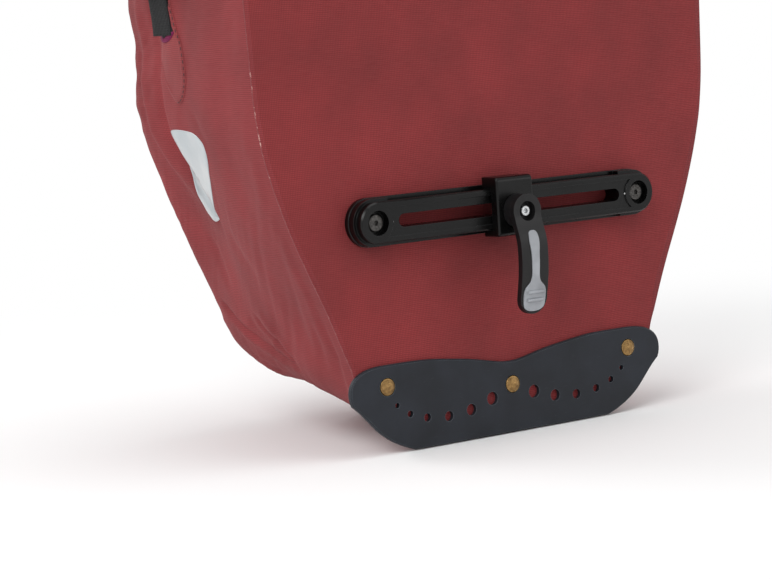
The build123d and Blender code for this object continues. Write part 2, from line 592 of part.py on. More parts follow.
def hook_latch(centre_x):
    """Finger under the tube, hub round the pin, short arm towards the rail."""
    x0, x1 = centre_x - 4.7, centre_x + 1.3
    latch = slab_x(LATCH_FINGER, x0, x1) + rod_x(LATCH_Y, LATCH_Z, 3.0, x0, x1)
    latch = latch + slab_x(LATCH_ARM, x0, x1)
    return one(latch - rod_x(LATCH_Y, LATCH_Z, PIN_HOLE_R, x0 - 1, x1 + 1))


def latch_pin(centre_x):
    x0, x1 = hook_span(centre_x)
    return rod_x(LATCH_Y, LATCH_Z, 1.22, x0 + 2.2, x1 - 2.2)


def latch_spring(centre_x):
    """Close coil round the pin beside the latch, its turns marked by shallow grooves."""
    spring = (rod_x(LATCH_Y, LATCH_Z, 2.5, centre_x + 1.6, centre_x + 4.6)
              - rod_x(LATCH_Y, LATCH_Z, 1.6, centre_x, centre_x + 6))
    for k in range(3):
        x = centre_x + 2.35 + 0.75 * k
        spring -= (rod_x(LATCH_Y, LATCH_Z, 3.0, x - 0.08, x + 0.08)
                   - rod_x(LATCH_Y, LATCH_Z, 2.1, x - 1, x + 1))
    return one(spring)


# ---------------------------------------------------------------- carrying handle
# webbing drops through each hook's slot and runs inwards into the grip's sleeve
HANDLE_Z = 366.0
GRIP_HALF = 50.0
WEB_Y0, WEB_Y1 = SLIDE_Y - 3.4, SLIDE_Y - 1.0
LEG_HALF = 4.4
RUN_HALF = 5.5
# fanned corner between the leg and the run: inwards from HOOK_X, z from HANDLE_Z
HANDLE_CORNER = [
    (LEG_HALF, -20), (-LEG_HALF, -20), (-3.2, -8.5), (-1.5 + 3.0, -1.5), (10, 3.8),
    (25, RUN_HALF), (25, -RUN_HALF), (14, -6.5), (7, -11),
]


def handle_strap(sign):
    centre_x = sign * HOOK_X
    leg = box(centre_x - LEG_HALF, centre_x + LEG_HALF, WEB_Y0, WEB_Y1,
              LATCH_Z - 2.0, HANDLE_Z - 12)
    run = box(*sorted((sign * 20.0, centre_x - sign * 24.0)), WEB_Y0, WEB_Y1,
              HANDLE_Z - RUN_HALF, HANDLE_Z + RUN_HALF)
    corner = [(centre_x - sign * inward, HANDLE_Z + rise) for inward, rise in HANDLE_CORNER]
    return one(leg + run + slab_y(corner, WEB_Y0, WEB_Y1))


for side, sign in (("left", -1), ("right", 1)):
    parts[side + "_hook"] = hook_body(sign * HOOK_X)
    parts[side + "_hook_insert"] = hook_insert(sign * HOOK_X)
    parts[side + "_latch"] = hook_latch(sign * HOOK_X)
    parts[side + "_latch_pin"] = latch_pin(sign * HOOK_X)
    parts[side + "_latch_spring"] = latch_spring(sign * HOOK_X)
    parts[side + "_handle_strap"] = handle_strap(sign)

web_y = (WEB_Y0 + WEB_Y1) / 2
grip = box(-GRIP_HALF, GRIP_HALF, web_y - 6.0, web_y + 6.0, HANDLE_Z - 10, HANDLE_Z + 10)
grip = fillet(grip.edges().filter_by(Axis.X), 5.0)
grip = fillet(grip.edges().group_by(Axis.X)[0] + grip.edges().group_by(Axis.X)[-1], 1.2)
grip -= box(-GRIP_HALF - 2, GRIP_HALF + 2, WEB_Y0 - 0.3, WEB_Y1 + 0.3,
            HANDLE_Z - 5.9, HANDLE_Z + 5.9)
parts["handle_grip"] = one(grip)

# ---------------------------------------------------------------- roll closure
ROLL_Y, ROLL_Z = 1.0, 389.0
ROLL_T = 15.0
ROLL_W = 44.0
ROLL_STRAIGHT = 129.0
ROLL_BEND = 36.0
EAR_END_Z = 337.0       # lower end of the bent-down ears


def roll_line(offset):
    """Right half of the roll's line in XZ, offset outwards from its middle."""
    radius = ROLL_BEND + offset
    points = [(ROLL_STRAIGHT, ROLL_Z + offset)]
    for i in range(1, 9):
        angle = math.pi / 2 * i / 8
        points.append((ROLL_STRAIGHT + radius * math.sin(angle),
                       ROLL_Z - ROLL_BEND + radius * math.cos(angle)))
    points.append((ROLL_STRAIGHT + radius, EAR_END_Z))
    return points


outside = roll_line(ROLL_T / 2)
inside = roll_line(-ROLL_T / 2)
roll_outline = ([(-x, z) for x, z in reversed(outside)] + outside
                + list(reversed(inside)) + [(-x, z) for x, z in inside])
roll = slab_y(roll_outline, ROLL_Y - ROLL_W / 2, ROLL_Y + ROLL_W / 2)
strip_gap = box(-131, 131, ROLL_Y - 11.2, ROLL_Y + 11.2, ROLL_Z - 1.0, ROLL_Z + 1.0)
parts["roll_top"] = one(roll - strip_gap)
parts["closure_strip"] = box(-130, 130, ROLL_Y - 10.5, ROLL_Y + 10.5,
                             ROLL_Z - 0.7, ROLL_Z + 0.7)

# ---------------------------------------------------------------- patches on the gussets
# both follow the bag's surface; outlines: distance from the back, z
ANCHOR_OUTLINE = [
    (76.5, 189.2), (82.5, 195), (87.5, 205), (95, 215), (99.5, 222), (100, 236), (99, 243),
    (87, 245), (74, 245), (69.5, 240), (66.6, 230), (64.6, 216), (64.8, 203), (67.6, 193),
    (71.5, 189.2),
]
REFLECTOR_OUTLINE = [
    (83.9, 174.8), (78.6, 176.9), (72.2, 176.9), (63.5, 174.8), (55.5, 170.2), (50.8, 162.5),
    (48.4, 152), (47.8, 139), (48.4, 129.2), (52.4, 129.8), (62, 138.9), (74.4, 154.8),
    (83.0, 168.0),
]

patch_base = loft_bag(0.35, 0.2)


def patch(outline, cover):
    """Piece of the layer between patch_base and cover on the left side."""
    points = [(BACK_Y + distance, z) for distance, z in outline]
    return slab_x(points, -170, -100, smooth=True) & (cover - patch_base)


anchor_slot = box(-200, -100, BACK_Y + 77.2, BACK_Y + 97.2, 222.5, 230.5)
add_pair("strap_anchor", patch(ANCHOR_OUTLINE, loft_bag(1.45, 0.8)) - anchor_slot)
add_pair("reflector", one(patch(REFLECTOR_OUTLINE, loft_bag(0.75, 0.5))))

# ---------------------------------------------------------------- side straps and buckles
# built on the left, then mirrored
STRAP_Y = 3.0
STRAP_Y0, STRAP_Y1 = STRAP_Y - 10.0, STRAP_Y + 10.0
STRAP_T = 1.6
STRAP_X = 157.4         # inner face of the side webbing
BUCKLE_X0, BUCKLE_X1 = -169.0, -159.4
BUCKLE_HALF = 15.0
BUCKLE_WALL = 1.6
STRAP_SLOT_HALF = 10.6
SOCKET_Z0, SOCKET_Z1 = 299.0, 331.0
PLUG_Z0 = 270.0
# springy arm of the plug with its shoulder: y outwards from STRAP_Y, z from SOCKET_Z0
PRONG = [
    (5.6, -5.0), (9.2, -5.0), (12.0, 3.0), (13.2, 6.6),
    (13.2, 15.0), (11.0, 19.6), (9.0, 19.6), (8.6, 8.0),
]


def buckle_block(z0, z1):
    block = box(BUCKLE_X0, BUCKLE_X1, STRAP_Y - BUCKLE_HALF, STRAP_Y + BUCKLE_HALF, z0, z1)
    block = fillet(block.edges().filter_by(Axis.X), 3.0)
    return fillet(block.edges().group_by(Axis.X)[0], 1.5)


def buckle_cut(inset, half_y, z0, z1):
    return box(BUCKLE_X0 + inset, BUCKLE_X1 - inset, STRAP_Y - half_y, STRAP_Y + half_y, z0, z1)


def buckle_socket():
    socket = buckle_block(SOCKET_Z0, SOCKET_Z1)
    socket -= buckle_cut(BUCKLE_WALL, BUCKLE_HALF - BUCKLE_WALL, SOCKET_Z0 - 1, SOCKET_Z1 - 10)
    # side windows where the prongs' shoulders are pressed
    socket -= buckle_cut(BUCKLE_WALL, BUCKLE_HALF + 1, SOCKET_Z0 + 6, SOCKET_Z1 - 12)
    # strap slot under the top bar
    socket -= buckle_cut(-1, STRAP_SLOT_HALF, SOCKET_Z1 - 7.0, SOCKET_Z1 - 3.2)
    return one(socket)


def buckle_plug():
    plug = buckle_block(PLUG_Z0, SOCKET_Z0 - 0.4)
    plug -= buckle_cut(-1, STRAP_SLOT_HALF, PLUG_Z0 + 3.0, PLUG_Z0 + 8.0)
    plug -= buckle_cut(-1, STRAP_SLOT_HALF, PLUG_Z0 + 11.5, PLUG_Z0 + 16.5)
    # central tongue, then the pockets for the prongs' roots
    plug += buckle_cut(2.2, 2.4, SOCKET_Z0 - 1.0, SOCKET_Z1 - 11.0)
    for sign in (-1, 1):
        plug -= box(BUCKLE_X0 + 2.0, BUCKLE_X1 - 2.0,
                    *sorted((STRAP_Y + sign * 3.6, STRAP_Y + sign * 13.4)),
                    SOCKET_Z0 - 6.4, SOCKET_Z0 + 2)
    return one(plug)


def prong(sign):
    x0, x1 = BUCKLE_X0 + 2.3, BUCKLE_X1 - 2.3
    body = slab_x([(STRAP_Y + sign * y, SOCKET_Z0 + z) for y, z in PRONG], x0, x1)
    body += rod_x(STRAP_Y + sign * 7.4, SOCKET_Z0 - 3.2, 2.1, x0, x1)
    return one(body)


add_pair("side_strap", box(-STRAP_X - STRAP_T, -STRAP_X, STRAP_Y0, STRAP_Y1, 226.5, 279.0))
add_pair("buckle_socket", buckle_socket())
add_pair("buckle_plug", buckle_plug())
add_pair("prong_rear", prong(-1))
add_pair("prong_front", prong(1))
# webbing tab that ties the socket's top bar to the roll's ear
add_pair("roll_tab", box(BUCKLE_X1 + 0.2, BUCKLE_X1 + 1.7, STRAP_Y0, STRAP_Y1,
                         SOCKET_Z1 - 8.0, EAR_END_Z - 0.2))

# ---------------------------------------------------------------- write
os.makedirs("parts", exist_ok=True)
for name, shape in parts.items():
    export_step(shape, f"parts/{name}.step")
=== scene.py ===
"""A roll-top bicycle pannier in red coated canvas, standing on a pale floor.

The bag stands on z = 0, centred on x = 0. Its flat back, which carries the rails, hooks,
edge protector and handle, faces -Y; the rounded front faces +Y. Left is -X.
Shapes are worked out in millimetres and built in metres.
"""
import math
import bpy
import bmesh
import numpy as np
from mathutils import Vector, Matrix, noise
from mathutils.bvhtree import BVHTree


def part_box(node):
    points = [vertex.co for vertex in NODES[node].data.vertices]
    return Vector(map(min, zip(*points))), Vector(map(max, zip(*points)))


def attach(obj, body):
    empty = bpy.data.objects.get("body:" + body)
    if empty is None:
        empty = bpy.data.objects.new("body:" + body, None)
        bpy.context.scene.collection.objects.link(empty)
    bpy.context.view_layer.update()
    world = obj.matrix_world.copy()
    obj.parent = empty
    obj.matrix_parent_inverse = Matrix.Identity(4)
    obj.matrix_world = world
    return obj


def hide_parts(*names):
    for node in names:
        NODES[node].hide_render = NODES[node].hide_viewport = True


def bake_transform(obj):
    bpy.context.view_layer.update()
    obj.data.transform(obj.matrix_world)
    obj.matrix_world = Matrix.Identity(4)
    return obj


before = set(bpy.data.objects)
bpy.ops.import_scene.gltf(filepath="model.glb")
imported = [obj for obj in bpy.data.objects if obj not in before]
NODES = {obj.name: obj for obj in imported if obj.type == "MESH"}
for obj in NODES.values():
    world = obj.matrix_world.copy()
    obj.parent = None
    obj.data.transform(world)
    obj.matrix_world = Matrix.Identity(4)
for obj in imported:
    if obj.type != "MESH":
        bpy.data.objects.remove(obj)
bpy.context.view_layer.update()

MM = 0.001
SIDES = ((-1, "left"), (1, "right"))
BACK_Y = -84.0              # plane of the bag's back
STRAP_Y = 3.0               # middle of the side straps
ROLL_Y = 1.0                # middle of the rolled mouth
LOWER_RAIL_Z, UPPER_RAIL_Z = 123.5, 334.0
scene = bpy.context.scene
scene.render.resolution_x, scene.render.resolution_y = 772, 579


# ------------------------------------------------------------------ curves
def pchip(xs, ys):
    """Monotone cubic curve through the points, as a function that clamps at both ends."""
    xs, ys = np.array(xs, float), np.array(ys, float)
    gap, count = np.diff(xs), len(xs)
    rise = np.diff(ys) / gap
    slope = np.zeros(count)
    slope[0], slope[-1] = rise[0], rise[-1]
    for i in range(1, count - 1):
        if rise[i - 1] * rise[i] > 0:
            before, after = 2 * gap[i] + gap[i - 1], gap[i] + 2 * gap[i - 1]
            slope[i] = (before + after) / (before / rise[i - 1] + after / rise[i])

    def curve(x):
        x = np.clip(np.asarray(x, float), xs[0], xs[-1])
        i = np.clip(np.searchsorted(xs, x, side="right") - 1, 0, count - 2)
        t = (x - xs[i]) / gap[i]
        return ((2 * t**3 - 3 * t**2 + 1) * ys[i]
                + (t**3 - 2 * t**2 + t) * gap[i] * slope[i]
                + (-2 * t**3 + 3 * t**2) * ys[i + 1]
                + (t**3 - t**2) * gap[i] * slope[i + 1])
    return curve


def smooth(x, start, end):
    """Smooth step from 0 at start to 1 at end; start may be the larger."""
    t = np.clip((np.asarray(x, float) - start) / (end - start), 0, 1)
    return t * t * (3 - 2 * t)


def arc_length(points):
    """Length run along a polyline at each of its points."""
    return np.r_[0, np.cumsum(np.linalg.norm(np.diff(points, axis=0), axis=1))]


def resample(line, step):
    """Smooth path through the points of a line, with even steps."""
    points = np.array(line, float)
    run = arc_length(points)
    even = np.linspace(0, run[-1], max(4, int(run[-1] / step)))
    return np.stack([pchip(run, points[:, k])(even) for k in range(3)], 1)


def smooth_loop(outline, count):
    """Closed Catmull-Rom curve through (y, z) points, as count even points."""
    closed = np.array(list(outline) + [outline[0]], float)
    knots = np.r_[closed[-4:-1], closed, closed[1:4]]
    run = arc_length(knots)
    even = np.linspace(run[3], run[3 + len(closed) - 1], count, endpoint=False)
    i = np.clip(np.searchsorted(run, even, side="right") - 1, 1, len(knots) - 3)
    t = ((even - run[i]) / (run[i + 1] - run[i]))[:, None]
    p0, p1, p2, p3 = knots[i - 1], knots[i], knots[i + 1], knots[i + 2]
    return 0.5 * ((2 * p1) + (-p0 + p2) * t + (2 * p0 - 5 * p1 + 4 * p2 - p3) * t**2
                  + (-p0 + 3 * p1 - 3 * p2 + p3) * t**3)


def superellipse(angle, half_a, half_b, power_a, power_b):
    """Rounded box section; smaller powers give squarer corners."""
    c, s = np.cos(angle), np.sin(angle)
    return np.c_[half_a * np.sign(c) * np.abs(c) ** power_a,
                 half_b * np.sign(s) * np.abs(s) ** power_b]


def tangent(path, i, closed=False):
    count = len(path)
    if closed:
        step = path[(i + 1) % count] - path[i - 1]
    else:
        step = path[min(i + 1, count - 1)] - path[max(i - 1, 0)]
    return step / np.linalg.norm(step)


# ------------------------------------------------------------------ mesh helpers
def link(ob):
    scene.collection.objects.link(ob)
    return ob


def mesh_object(name, points, faces, scale=MM):
    """Smooth-shaded object with its faces turned outwards."""
    mesh = bpy.data.meshes.new(name)
    mesh.from_pydata((np.asarray(points, float) * scale).tolist(), [], faces)
    mesh.validate()
    mesh.update()
    ob = link(bpy.data.objects.new(name, mesh))
    mesh.polygons.foreach_set("use_smooth", [True] * len(mesh.polygons))
    bm = bmesh.new()
    bm.from_mesh(mesh)
    bmesh.ops.recalc_face_normals(bm, faces=bm.faces)
    bm.to_mesh(mesh)
    bm.free()
    mesh.update()
    return ob


def skin_faces(ring_count, size, closed_path=False):
    """Quads between neighbouring rings of size points each."""
    faces = []
    for i in range(ring_count if closed_path else ring_count - 1):
        a, b = i * size, ((i + 1) % ring_count) * size
        for j in range(size):
            j2 = (j + 1) % size
            faces.append((a + j, a + j2, b + j2, b + j))
    return faces


def fanned_faces(ring_count, size):
    """Quads between the rings, and fans to two tip points stored after the last ring."""
    faces = skin_faces(ring_count, size)
    last, tip = (ring_count - 1) * size, ring_count * size
    for j in range(size):
        j2 = (j + 1) % size
        faces.append((tip, j2, j))
        faces.append((tip + 1, last + j, last + j2))
    return faces


def tube(name, rings, closed_path=False):
    """Skin through rings of (n, 3) points, capped at both ends unless the path closes."""
    size, count = len(rings[0]), len(rings)
    faces = skin_faces(count, size, closed_path)
    if not closed_path:
        faces.append(tuple(range(size - 1, -1, -1)))
        faces.append(tuple((count - 1) * size + j for j in range(size)))
    return mesh_object(name, np.concatenate(rings), faces)


def sweep(name, path, section, closed=False, scale=None):
    """Sweeps a (side, normal) section along path, its side kept as near +Y as it can be."""
    rings = []
    for i in range(len(path)):
        ahead = tangent(path, i, closed)
        side = np.array((0, 1, 0), float)
        side = side - ahead * (side @ ahead)
        side /= np.linalg.norm(side)
        normal = np.cross(ahead, side)
        k = 1.0 if scale is None else scale[i]
        rings.append(path[i] + np.outer(section[:, 0] * k, side)
                     + np.outer(section[:, 1] * k, normal))
    return tube(name, rings, closed_path=closed)


def webbing_section(width, thick):
    """Flat strap section with rounded selvedges."""
    flat, t = width / 2 - thick / 2, thick / 2
    right_turn = np.linspace(math.pi / 2, -math.pi / 2, 6)[1:-1]
    left_turn = np.linspace(-math.pi / 2, -3 * math.pi / 2, 6)[1:-1]
    points = [(x, t * (1 + 0.04 * math.cos(x * 2.2))) for x in np.linspace(-flat, flat, 6)]
    points += [(flat + t * math.cos(a), t * math.sin(a)) for a in right_turn]
    points += [(x, -t) for x in np.linspace(flat, -flat, 6)]
    points += [(-flat + t * math.cos(a), t * math.sin(a)) for a in left_turn]
    return np.array(points)


def get_points(ob):
    """The object's points in millimetres."""
    flat = np.empty(len(ob.data.vertices) * 3)
    ob.data.vertices.foreach_get("co", flat)
    return flat.reshape(-1, 3) / MM


def set_points(ob, points):
    ob.data.vertices.foreach_set("co", (points * MM).ravel())
    ob.data.update()


def get_normals(ob):
    flat = np.empty(len(ob.data.vertices) * 3)
    ob.data.vertex_normals.foreach_get("vector", flat)
    return flat.reshape(-1, 3)


def set_material(ob, material):
    ob.data.materials.clear()
    ob.data.materials.append(material)


def register(ob, material, slot, *replaced, ride="bag"):
    set_material(ob, material)
    if replaced:
        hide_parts(*replaced)
    if ride:
        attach(ob, ride)


# ------------------------------------------------------------------ material kit
SURFACE_INPUTS = {
    "color": "Base Color", "rough": "Roughness", "metal": "Metallic", "normal": "Normal",
    "coat": "Coat Weight", "coat_rough": "Coat Roughness", "sheen": "Sheen Weight",
    "sheen_rough": "Sheen Roughness", "sheen_tint": "Sheen Tint", "spec": "Specular IOR Level"}


def add_node(tree, kind, inputs=None, **settings):
    """Adds a node; inputs maps its sockets to values or to the sockets that feed them."""
    node = tree.nodes.new(kind)
    for key, value in settings.items():
        setattr(node, key, value)
    for key, value in (inputs or {}).items():
        put(tree, node.inputs[key], value)
    return node


def put(tree, socket, value):
    if isinstance(value, bpy.types.NodeSocket):
        tree.links.new(value, socket)
    else:
        socket.default_value = value


def linear(rgb, factor=1.0, lift=0.0):
    """Linear RGBA of an 8-bit sRGB colour, brightened by factor and lift."""
    def channel(c):
        c = min(255, c * factor + lift) / 255.0
        return c / 12.92 if c <= 0.04045 else ((c + 0.055) / 1.055) ** 2.4
    return (*[channel(c) for c in rgb], 1.0)


class Shader:
    """A material under construction; its textures are laid out in millimetres."""

    def __init__(self, name):
        self.material = bpy.data.materials.new(name)
        self.material.use_nodes = True
        self.tree = self.material.node_tree
        self.tree.nodes.clear()
        output = self.node("ShaderNodeOutputMaterial")
        self.principled = self.node("ShaderNodeBsdfPrincipled")
        self.tree.links.new(self.principled.outputs[0], output.inputs[0])

    def node(self, kind, inputs=None, **settings):
        return add_node(self.tree, kind, inputs, **settings)

    def calc(self, operation, a, b=0.0, clamp=False):
        node = self.node("ShaderNodeMath", {0: a, 1: b}, operation=operation, use_clamp=clamp)
        return node.outputs[0]

    def add(self, a, b, clamp=False):
        return self.calc("ADD", a, b, clamp)

    def mul(self, a, by):
        return self.calc("MULTIPLY", a, by)

    def wave(self, coordinate, rate):
        return self.calc("SINE", self.mul(coordinate, by=rate))

    def position(self):
        """Position in the object's frame, in millimetres."""
        coords = self.node("ShaderNodeTexCoord")
        return self.node("ShaderNodeVectorMath", {0: coords.outputs["Object"], "Scale": 1000.0},
                         operation="SCALE").outputs[0]

    def axes(self, vector):
        return self.node("ShaderNodeSeparateXYZ", {0: vector}).outputs[:]

    def normal_weights(self, power=6.0):
        """How far the surface faces x, y and z; the three add up to 1."""
        coords = self.node("ShaderNodeTexCoord")
        weights = [self.calc("POWER", self.calc("ABSOLUTE", part), power)
                   for part in self.axes(coords.outputs["Normal"])]
        # the small term keeps the division safe
        total = self.add(self.add(weights[0], weights[1]), self.add(weights[2], 1e-4))
        return [self.calc("DIVIDE", weight, total) for weight in weights]

    def map_range(self, value, start, end):
        """0 at start, 1 at end."""
        return self.node("ShaderNodeMapRange", {0: value, 1: start, 2: end}).outputs[0]

    def mapping(self, vector, scale):
        return self.node("ShaderNodeMapping", {0: vector, "Scale": scale}).outputs[0]

    def noise(self, vector, scale, detail=3.0, rough=0.5, low=None, high=None):
        """Noise whose features are about 1/scale mm; low..high is stretched to 0..1."""
        value = self.node("ShaderNodeTexNoise", {"Vector": vector, "Scale": scale,
                                                 "Detail": detail, "Roughness": rough}).outputs[0]
        return value if low is None else self.map_range(value, low, high)

    def mix(self, mask, a, b, amount=None):
        """Goes from a to b by mask, held down to amount where that is given."""
        if amount is not None:
            mask = self.mul(mask, by=amount)
        return self.node("ShaderNodeMix", {0: mask, 6: a, 7: b}, data_type="RGBA").outputs[2]

    def bump(self, height, strength, distance, normal=None):
        inputs = {"Strength": strength, "Distance": distance * MM, "Height": height}
        if normal is not None:
            inputs["Normal"] = normal
        return self.node("ShaderNodeBump", inputs).outputs[0]

    def bevel(self, radius, samples=4):
        """Normal rounded over sharp edges."""
        return self.node("ShaderNodeBevel", {"Radius": radius * MM}, samples=samples).outputs[0]

    def edges(self, radius):
        """1 on edges within radius mm, 0 on open faces."""
        rounded = self.bevel(radius, samples=6)
        true_normal = self.node("ShaderNodeNewGeometry").outputs["Normal"]
        match = self.node("ShaderNodeVectorMath", {0: rounded, 1: true_normal},
                          operation="DOT_PRODUCT")
        return self.map_range(match.outputs["Value"], start=0.965, end=0.80)

    def surface(self, **inputs):
        for key, value in inputs.items():
            put(self.tree, self.principled.inputs[SURFACE_INPUTS[key]], value)
        return self.material


# ------------------------------------------------------------------ materials
def canvas(name, base, rough=0.72, bump=0.9, fade=(162, 88, 88), sheen=0.03):
    """Coated canvas: fine square weave on each face, slubs, soft mottling, a dull sheen."""
    mat = Shader(name)
    pos = mat.position()
    x, y, z = mat.axes(pos)
    facing_x, facing_y, facing_z = mat.normal_weights()
    rate = 2 * math.pi          # one thread per millimetre
    # hand-woven irregularity bends the threads a little
    wobble = mat.noise(pos, scale=0.06, detail=2.0)
    bent_z = mat.add(z, mat.mul(wobble, by=1.6))
    bent_x = mat.add(x, mat.mul(wobble, by=1.2))
    wave_x, wave_y, wave_z = mat.wave(bent_x, rate), mat.wave(y, rate), mat.wave(bent_z, rate)

    def weave(a, b):
        knots = mat.mul(mat.mul(a, b), by=0.25)
        threads = mat.add(mat.mul(a, by=1.15), mat.mul(b, by=1.15))
        return mat.add(knots, mat.mul(threads, by=0.3))
    cloth = mat.add(mat.add(mat.mul(weave(wave_y, wave_z), facing_x),
                            mat.mul(weave(wave_x, wave_z), facing_y)),
                    mat.mul(weave(wave_x, wave_y), facing_z))
    # slubs: short thick threads, level ones and then upright ones
    slub = {"scale": 1.0, "detail": 3.0, "rough": 0.6, "low": 0.35, "high": 0.7}
    level = mat.noise(mat.mapping(pos, scale=(0.12, 0.12, 1.9)), **slub)
    upright = mat.noise(mat.mapping(pos, scale=(1.7, 1.7, 0.1)), **slub)
    mottle = mat.noise(pos, scale=0.022, detail=4.0, rough=0.55, low=0.3, high=0.72)
    fine = mat.noise(pos, scale=2.4, detail=2.0, rough=0.6, low=0.3, high=0.75)
    color = mat.mix(mottle, linear(base, factor=0.90), linear(base, factor=1.09))
    # darker where the weave sinks: painted shade in the hollows between the threads
    weave_shade = mat.add(mat.mul(cloth, by=-0.95), 0.42, clamp=True)
    color = mat.mix(weave_shade, color, linear(base, factor=0.60), amount=0.85)
    color = mat.mix(level, color, linear(fade), amount=0.10)
    color = mat.mix(upright, color, linear(base, factor=0.8), amount=0.10)
    scuff = mat.noise(pos, scale=0.11, detail=6.0, rough=0.7, low=0.66, high=0.8)
    color = mat.mix(scuff, color, linear(fade), amount=0.12)
    relief = mat.add(mat.mul(cloth, by=0.55),
                     mat.mul(mat.add(level, mat.mul(fine, by=0.5)), by=0.35))
    billow = mat.noise(pos, scale=0.035)
    normal = mat.bump(billow, strength=0.25, distance=2.2)
    normal = mat.bump(relief, strength=bump, distance=0.14, normal=normal)
    return mat.surface(color=color, rough=mat.add(rough - 0.06, mat.mul(mottle, by=0.1)),
                       normal=normal, sheen=sheen, sheen_rough=0.4, spec=0.16,
                       sheen_tint=linear((225, 150, 150)))


def plastic(name, base, rough=0.4, grain=0.25, bevel=0.35, spec=0.5, edge=(120, 122, 125),
            edge_highlight=0.35):
    """Moulded plastic: fine grain, faint flow marks and scratches, softened edges with a painted
    highlight along them.
    """
    mat = Shader(name)
    pos = mat.position()
    grains = mat.noise(pos, scale=3.0, rough=0.6)
    flow = mat.noise(pos, scale=0.05, low=0.3, high=0.7)
    scratch = mat.noise(mat.mapping(pos, scale=(0.12, 2.4, 2.4)), scale=1.3, detail=5.0,
                        rough=0.7, low=0.62, high=0.72)
    color = mat.mix(flow, linear(base, factor=0.86), linear(base, factor=1.14))
    # edges lightened towards the edge colour: a painted highlight along the edges, broken up by
    # the flow marks
    edge_highlight_mask = mat.mul(mat.edges(bevel * 1.3), mat.add(flow, 0.4, clamp=True))
    color = mat.mix(edge_highlight_mask, color, linear(edge), amount=edge_highlight)
    color = mat.mix(scratch, color, linear(edge), amount=0.10)
    normal = mat.bump(grains, strength=grain, distance=0.05, normal=mat.bevel(bevel))
    normal = mat.bump(flow, strength=0.12, distance=0.3, normal=normal)
    dull = mat.add(rough - 0.05, mat.mul(flow, by=0.1))
    dull = mat.calc("SUBTRACT", dull, mat.mul(scratch, by=0.08))
    return mat.surface(color=color, rough=dull, normal=normal, spec=spec, coat_rough=0.3)


def metal(name, base, rough, patina, amount, scale):
    """Metal with blotches of patina, rougher where it is tarnished."""
    mat = Shader(name)
    pos = mat.position()
    blotch = mat.noise(pos, scale, detail=5.0, rough=0.65, low=0.38, high=0.62)
    fine = mat.noise(pos, scale=6.0, rough=0.6)
    color = mat.mix(blotch, linear(base), linear(patina), amount=amount)
    normal = mat.bump(fine, strength=0.25, distance=0.04, normal=mat.bevel(0.2))
    normal = mat.bump(blotch, strength=0.35, distance=0.12, normal=normal)
    return mat.surface(color=color, rough=mat.add(rough, mat.mul(blotch, by=0.25)),
                       metal=0.95, normal=normal)


def webbing(name, base, along, across):
    """Woven strap: ribs across the width, crossed by a zigzag along the length."""
    mat = Shader(name)
    pos = mat.position()
    axes = dict(zip("XYZ", mat.axes(pos)))
    rate = 2 * math.pi / 1.5    # ribs 1.5 mm apart
    rib = mat.wave(axes[across], rate)
    zigzag = mat.calc("SINE", mat.add(mat.mul(axes[along], by=rate * 1.1),
                                      mat.mul(mat.calc("ABSOLUTE", rib), by=2.2)))
    relief = mat.add(mat.mul(rib, by=0.5), mat.mul(zigzag, by=0.5))
    fuzz = mat.noise(pos, scale=5.0, rough=0.7)
    # rib tops painted lighter and the hollows between them darker: painted light and shade on the
    # weave
    rib_shading = mat.add(mat.mul(relief, by=0.35), 0.5, clamp=True)
    color = mat.mix(rib_shading, linear(base, factor=0.55), linear(base, factor=1.6, lift=6))
    color = mat.mix(fuzz, color, linear((90, 90, 92)), amount=0.06)
    normal = mat.bump(mat.add(relief, mat.mul(fuzz, by=0.4)), strength=0.7, distance=0.2)
    return mat.surface(color=color, rough=0.78, normal=normal, sheen=0.05, sheen_rough=0.4,
                       spec=0.2)


def weld():
    """Welded lip of the seam: the shell's red, with pale dashes at mid height painted on as
    highlights along the bead.
    """
    mat = Shader("weld_bead")
    pos = mat.position()
    z = mat.axes(pos)[2]
    highlight_dash = mat.noise(mat.mapping(pos, scale=(0.35, 0.35, 0.35)), scale=1.0, detail=5.0,
                     rough=0.8, low=0.54, high=0.66)
    # heights between which the painted highlight dashes fade out above and below
    below_top = mat.map_range(z, start=226.0, end=200.0)
    above_low = mat.map_range(z, start=140.0, end=168.0)
    zone = mat.add(mat.mul(mat.mul(below_top, above_low), by=0.85), 0.16)
    fine = mat.noise(pos, scale=2.5, rough=0.6)
    color = mat.mix(fine, linear((104, 36, 40)), linear((140, 60, 62)))
    # pale pinkish-white dashes: painted highlights on the bead
    color = mat.mix(highlight_dash, color, linear((226, 186, 176)), amount=zone)
    return mat.surface(color=color, rough=0.45, spec=0.35,
                       normal=mat.bump(fine, strength=0.4, distance=0.15))


def reflective():
    """Retro-reflective film: pale, with a fine cell pattern just under a clear face."""
    mat = Shader("reflective_film")
    pos = mat.position()
    cells = mat.node("ShaderNodeTexVoronoi",
                     {"Vector": mat.mapping(pos, scale=(0.0, 1.15, 1.15)), "Scale": 1.0},
                     feature="DISTANCE_TO_EDGE")
    inside = mat.map_range(cells.outputs["Distance"], start=0.0, end=0.10)
    soft = mat.noise(pos, scale=0.05, detail=2.0, low=0.35, high=0.65)
    color = mat.mix(soft, linear((168, 176, 180)), linear((184, 188, 190)))
    color = mat.mix(mat.calc("SUBTRACT", 1.0, inside), color, linear((140, 148, 154)),
                    amount=0.10)
    return mat.surface(color=color, rough=0.32, spec=0.5, coat=0.4, coat_rough=0.12,
                       normal=mat.bump(soft, strength=0.15, distance=0.6))


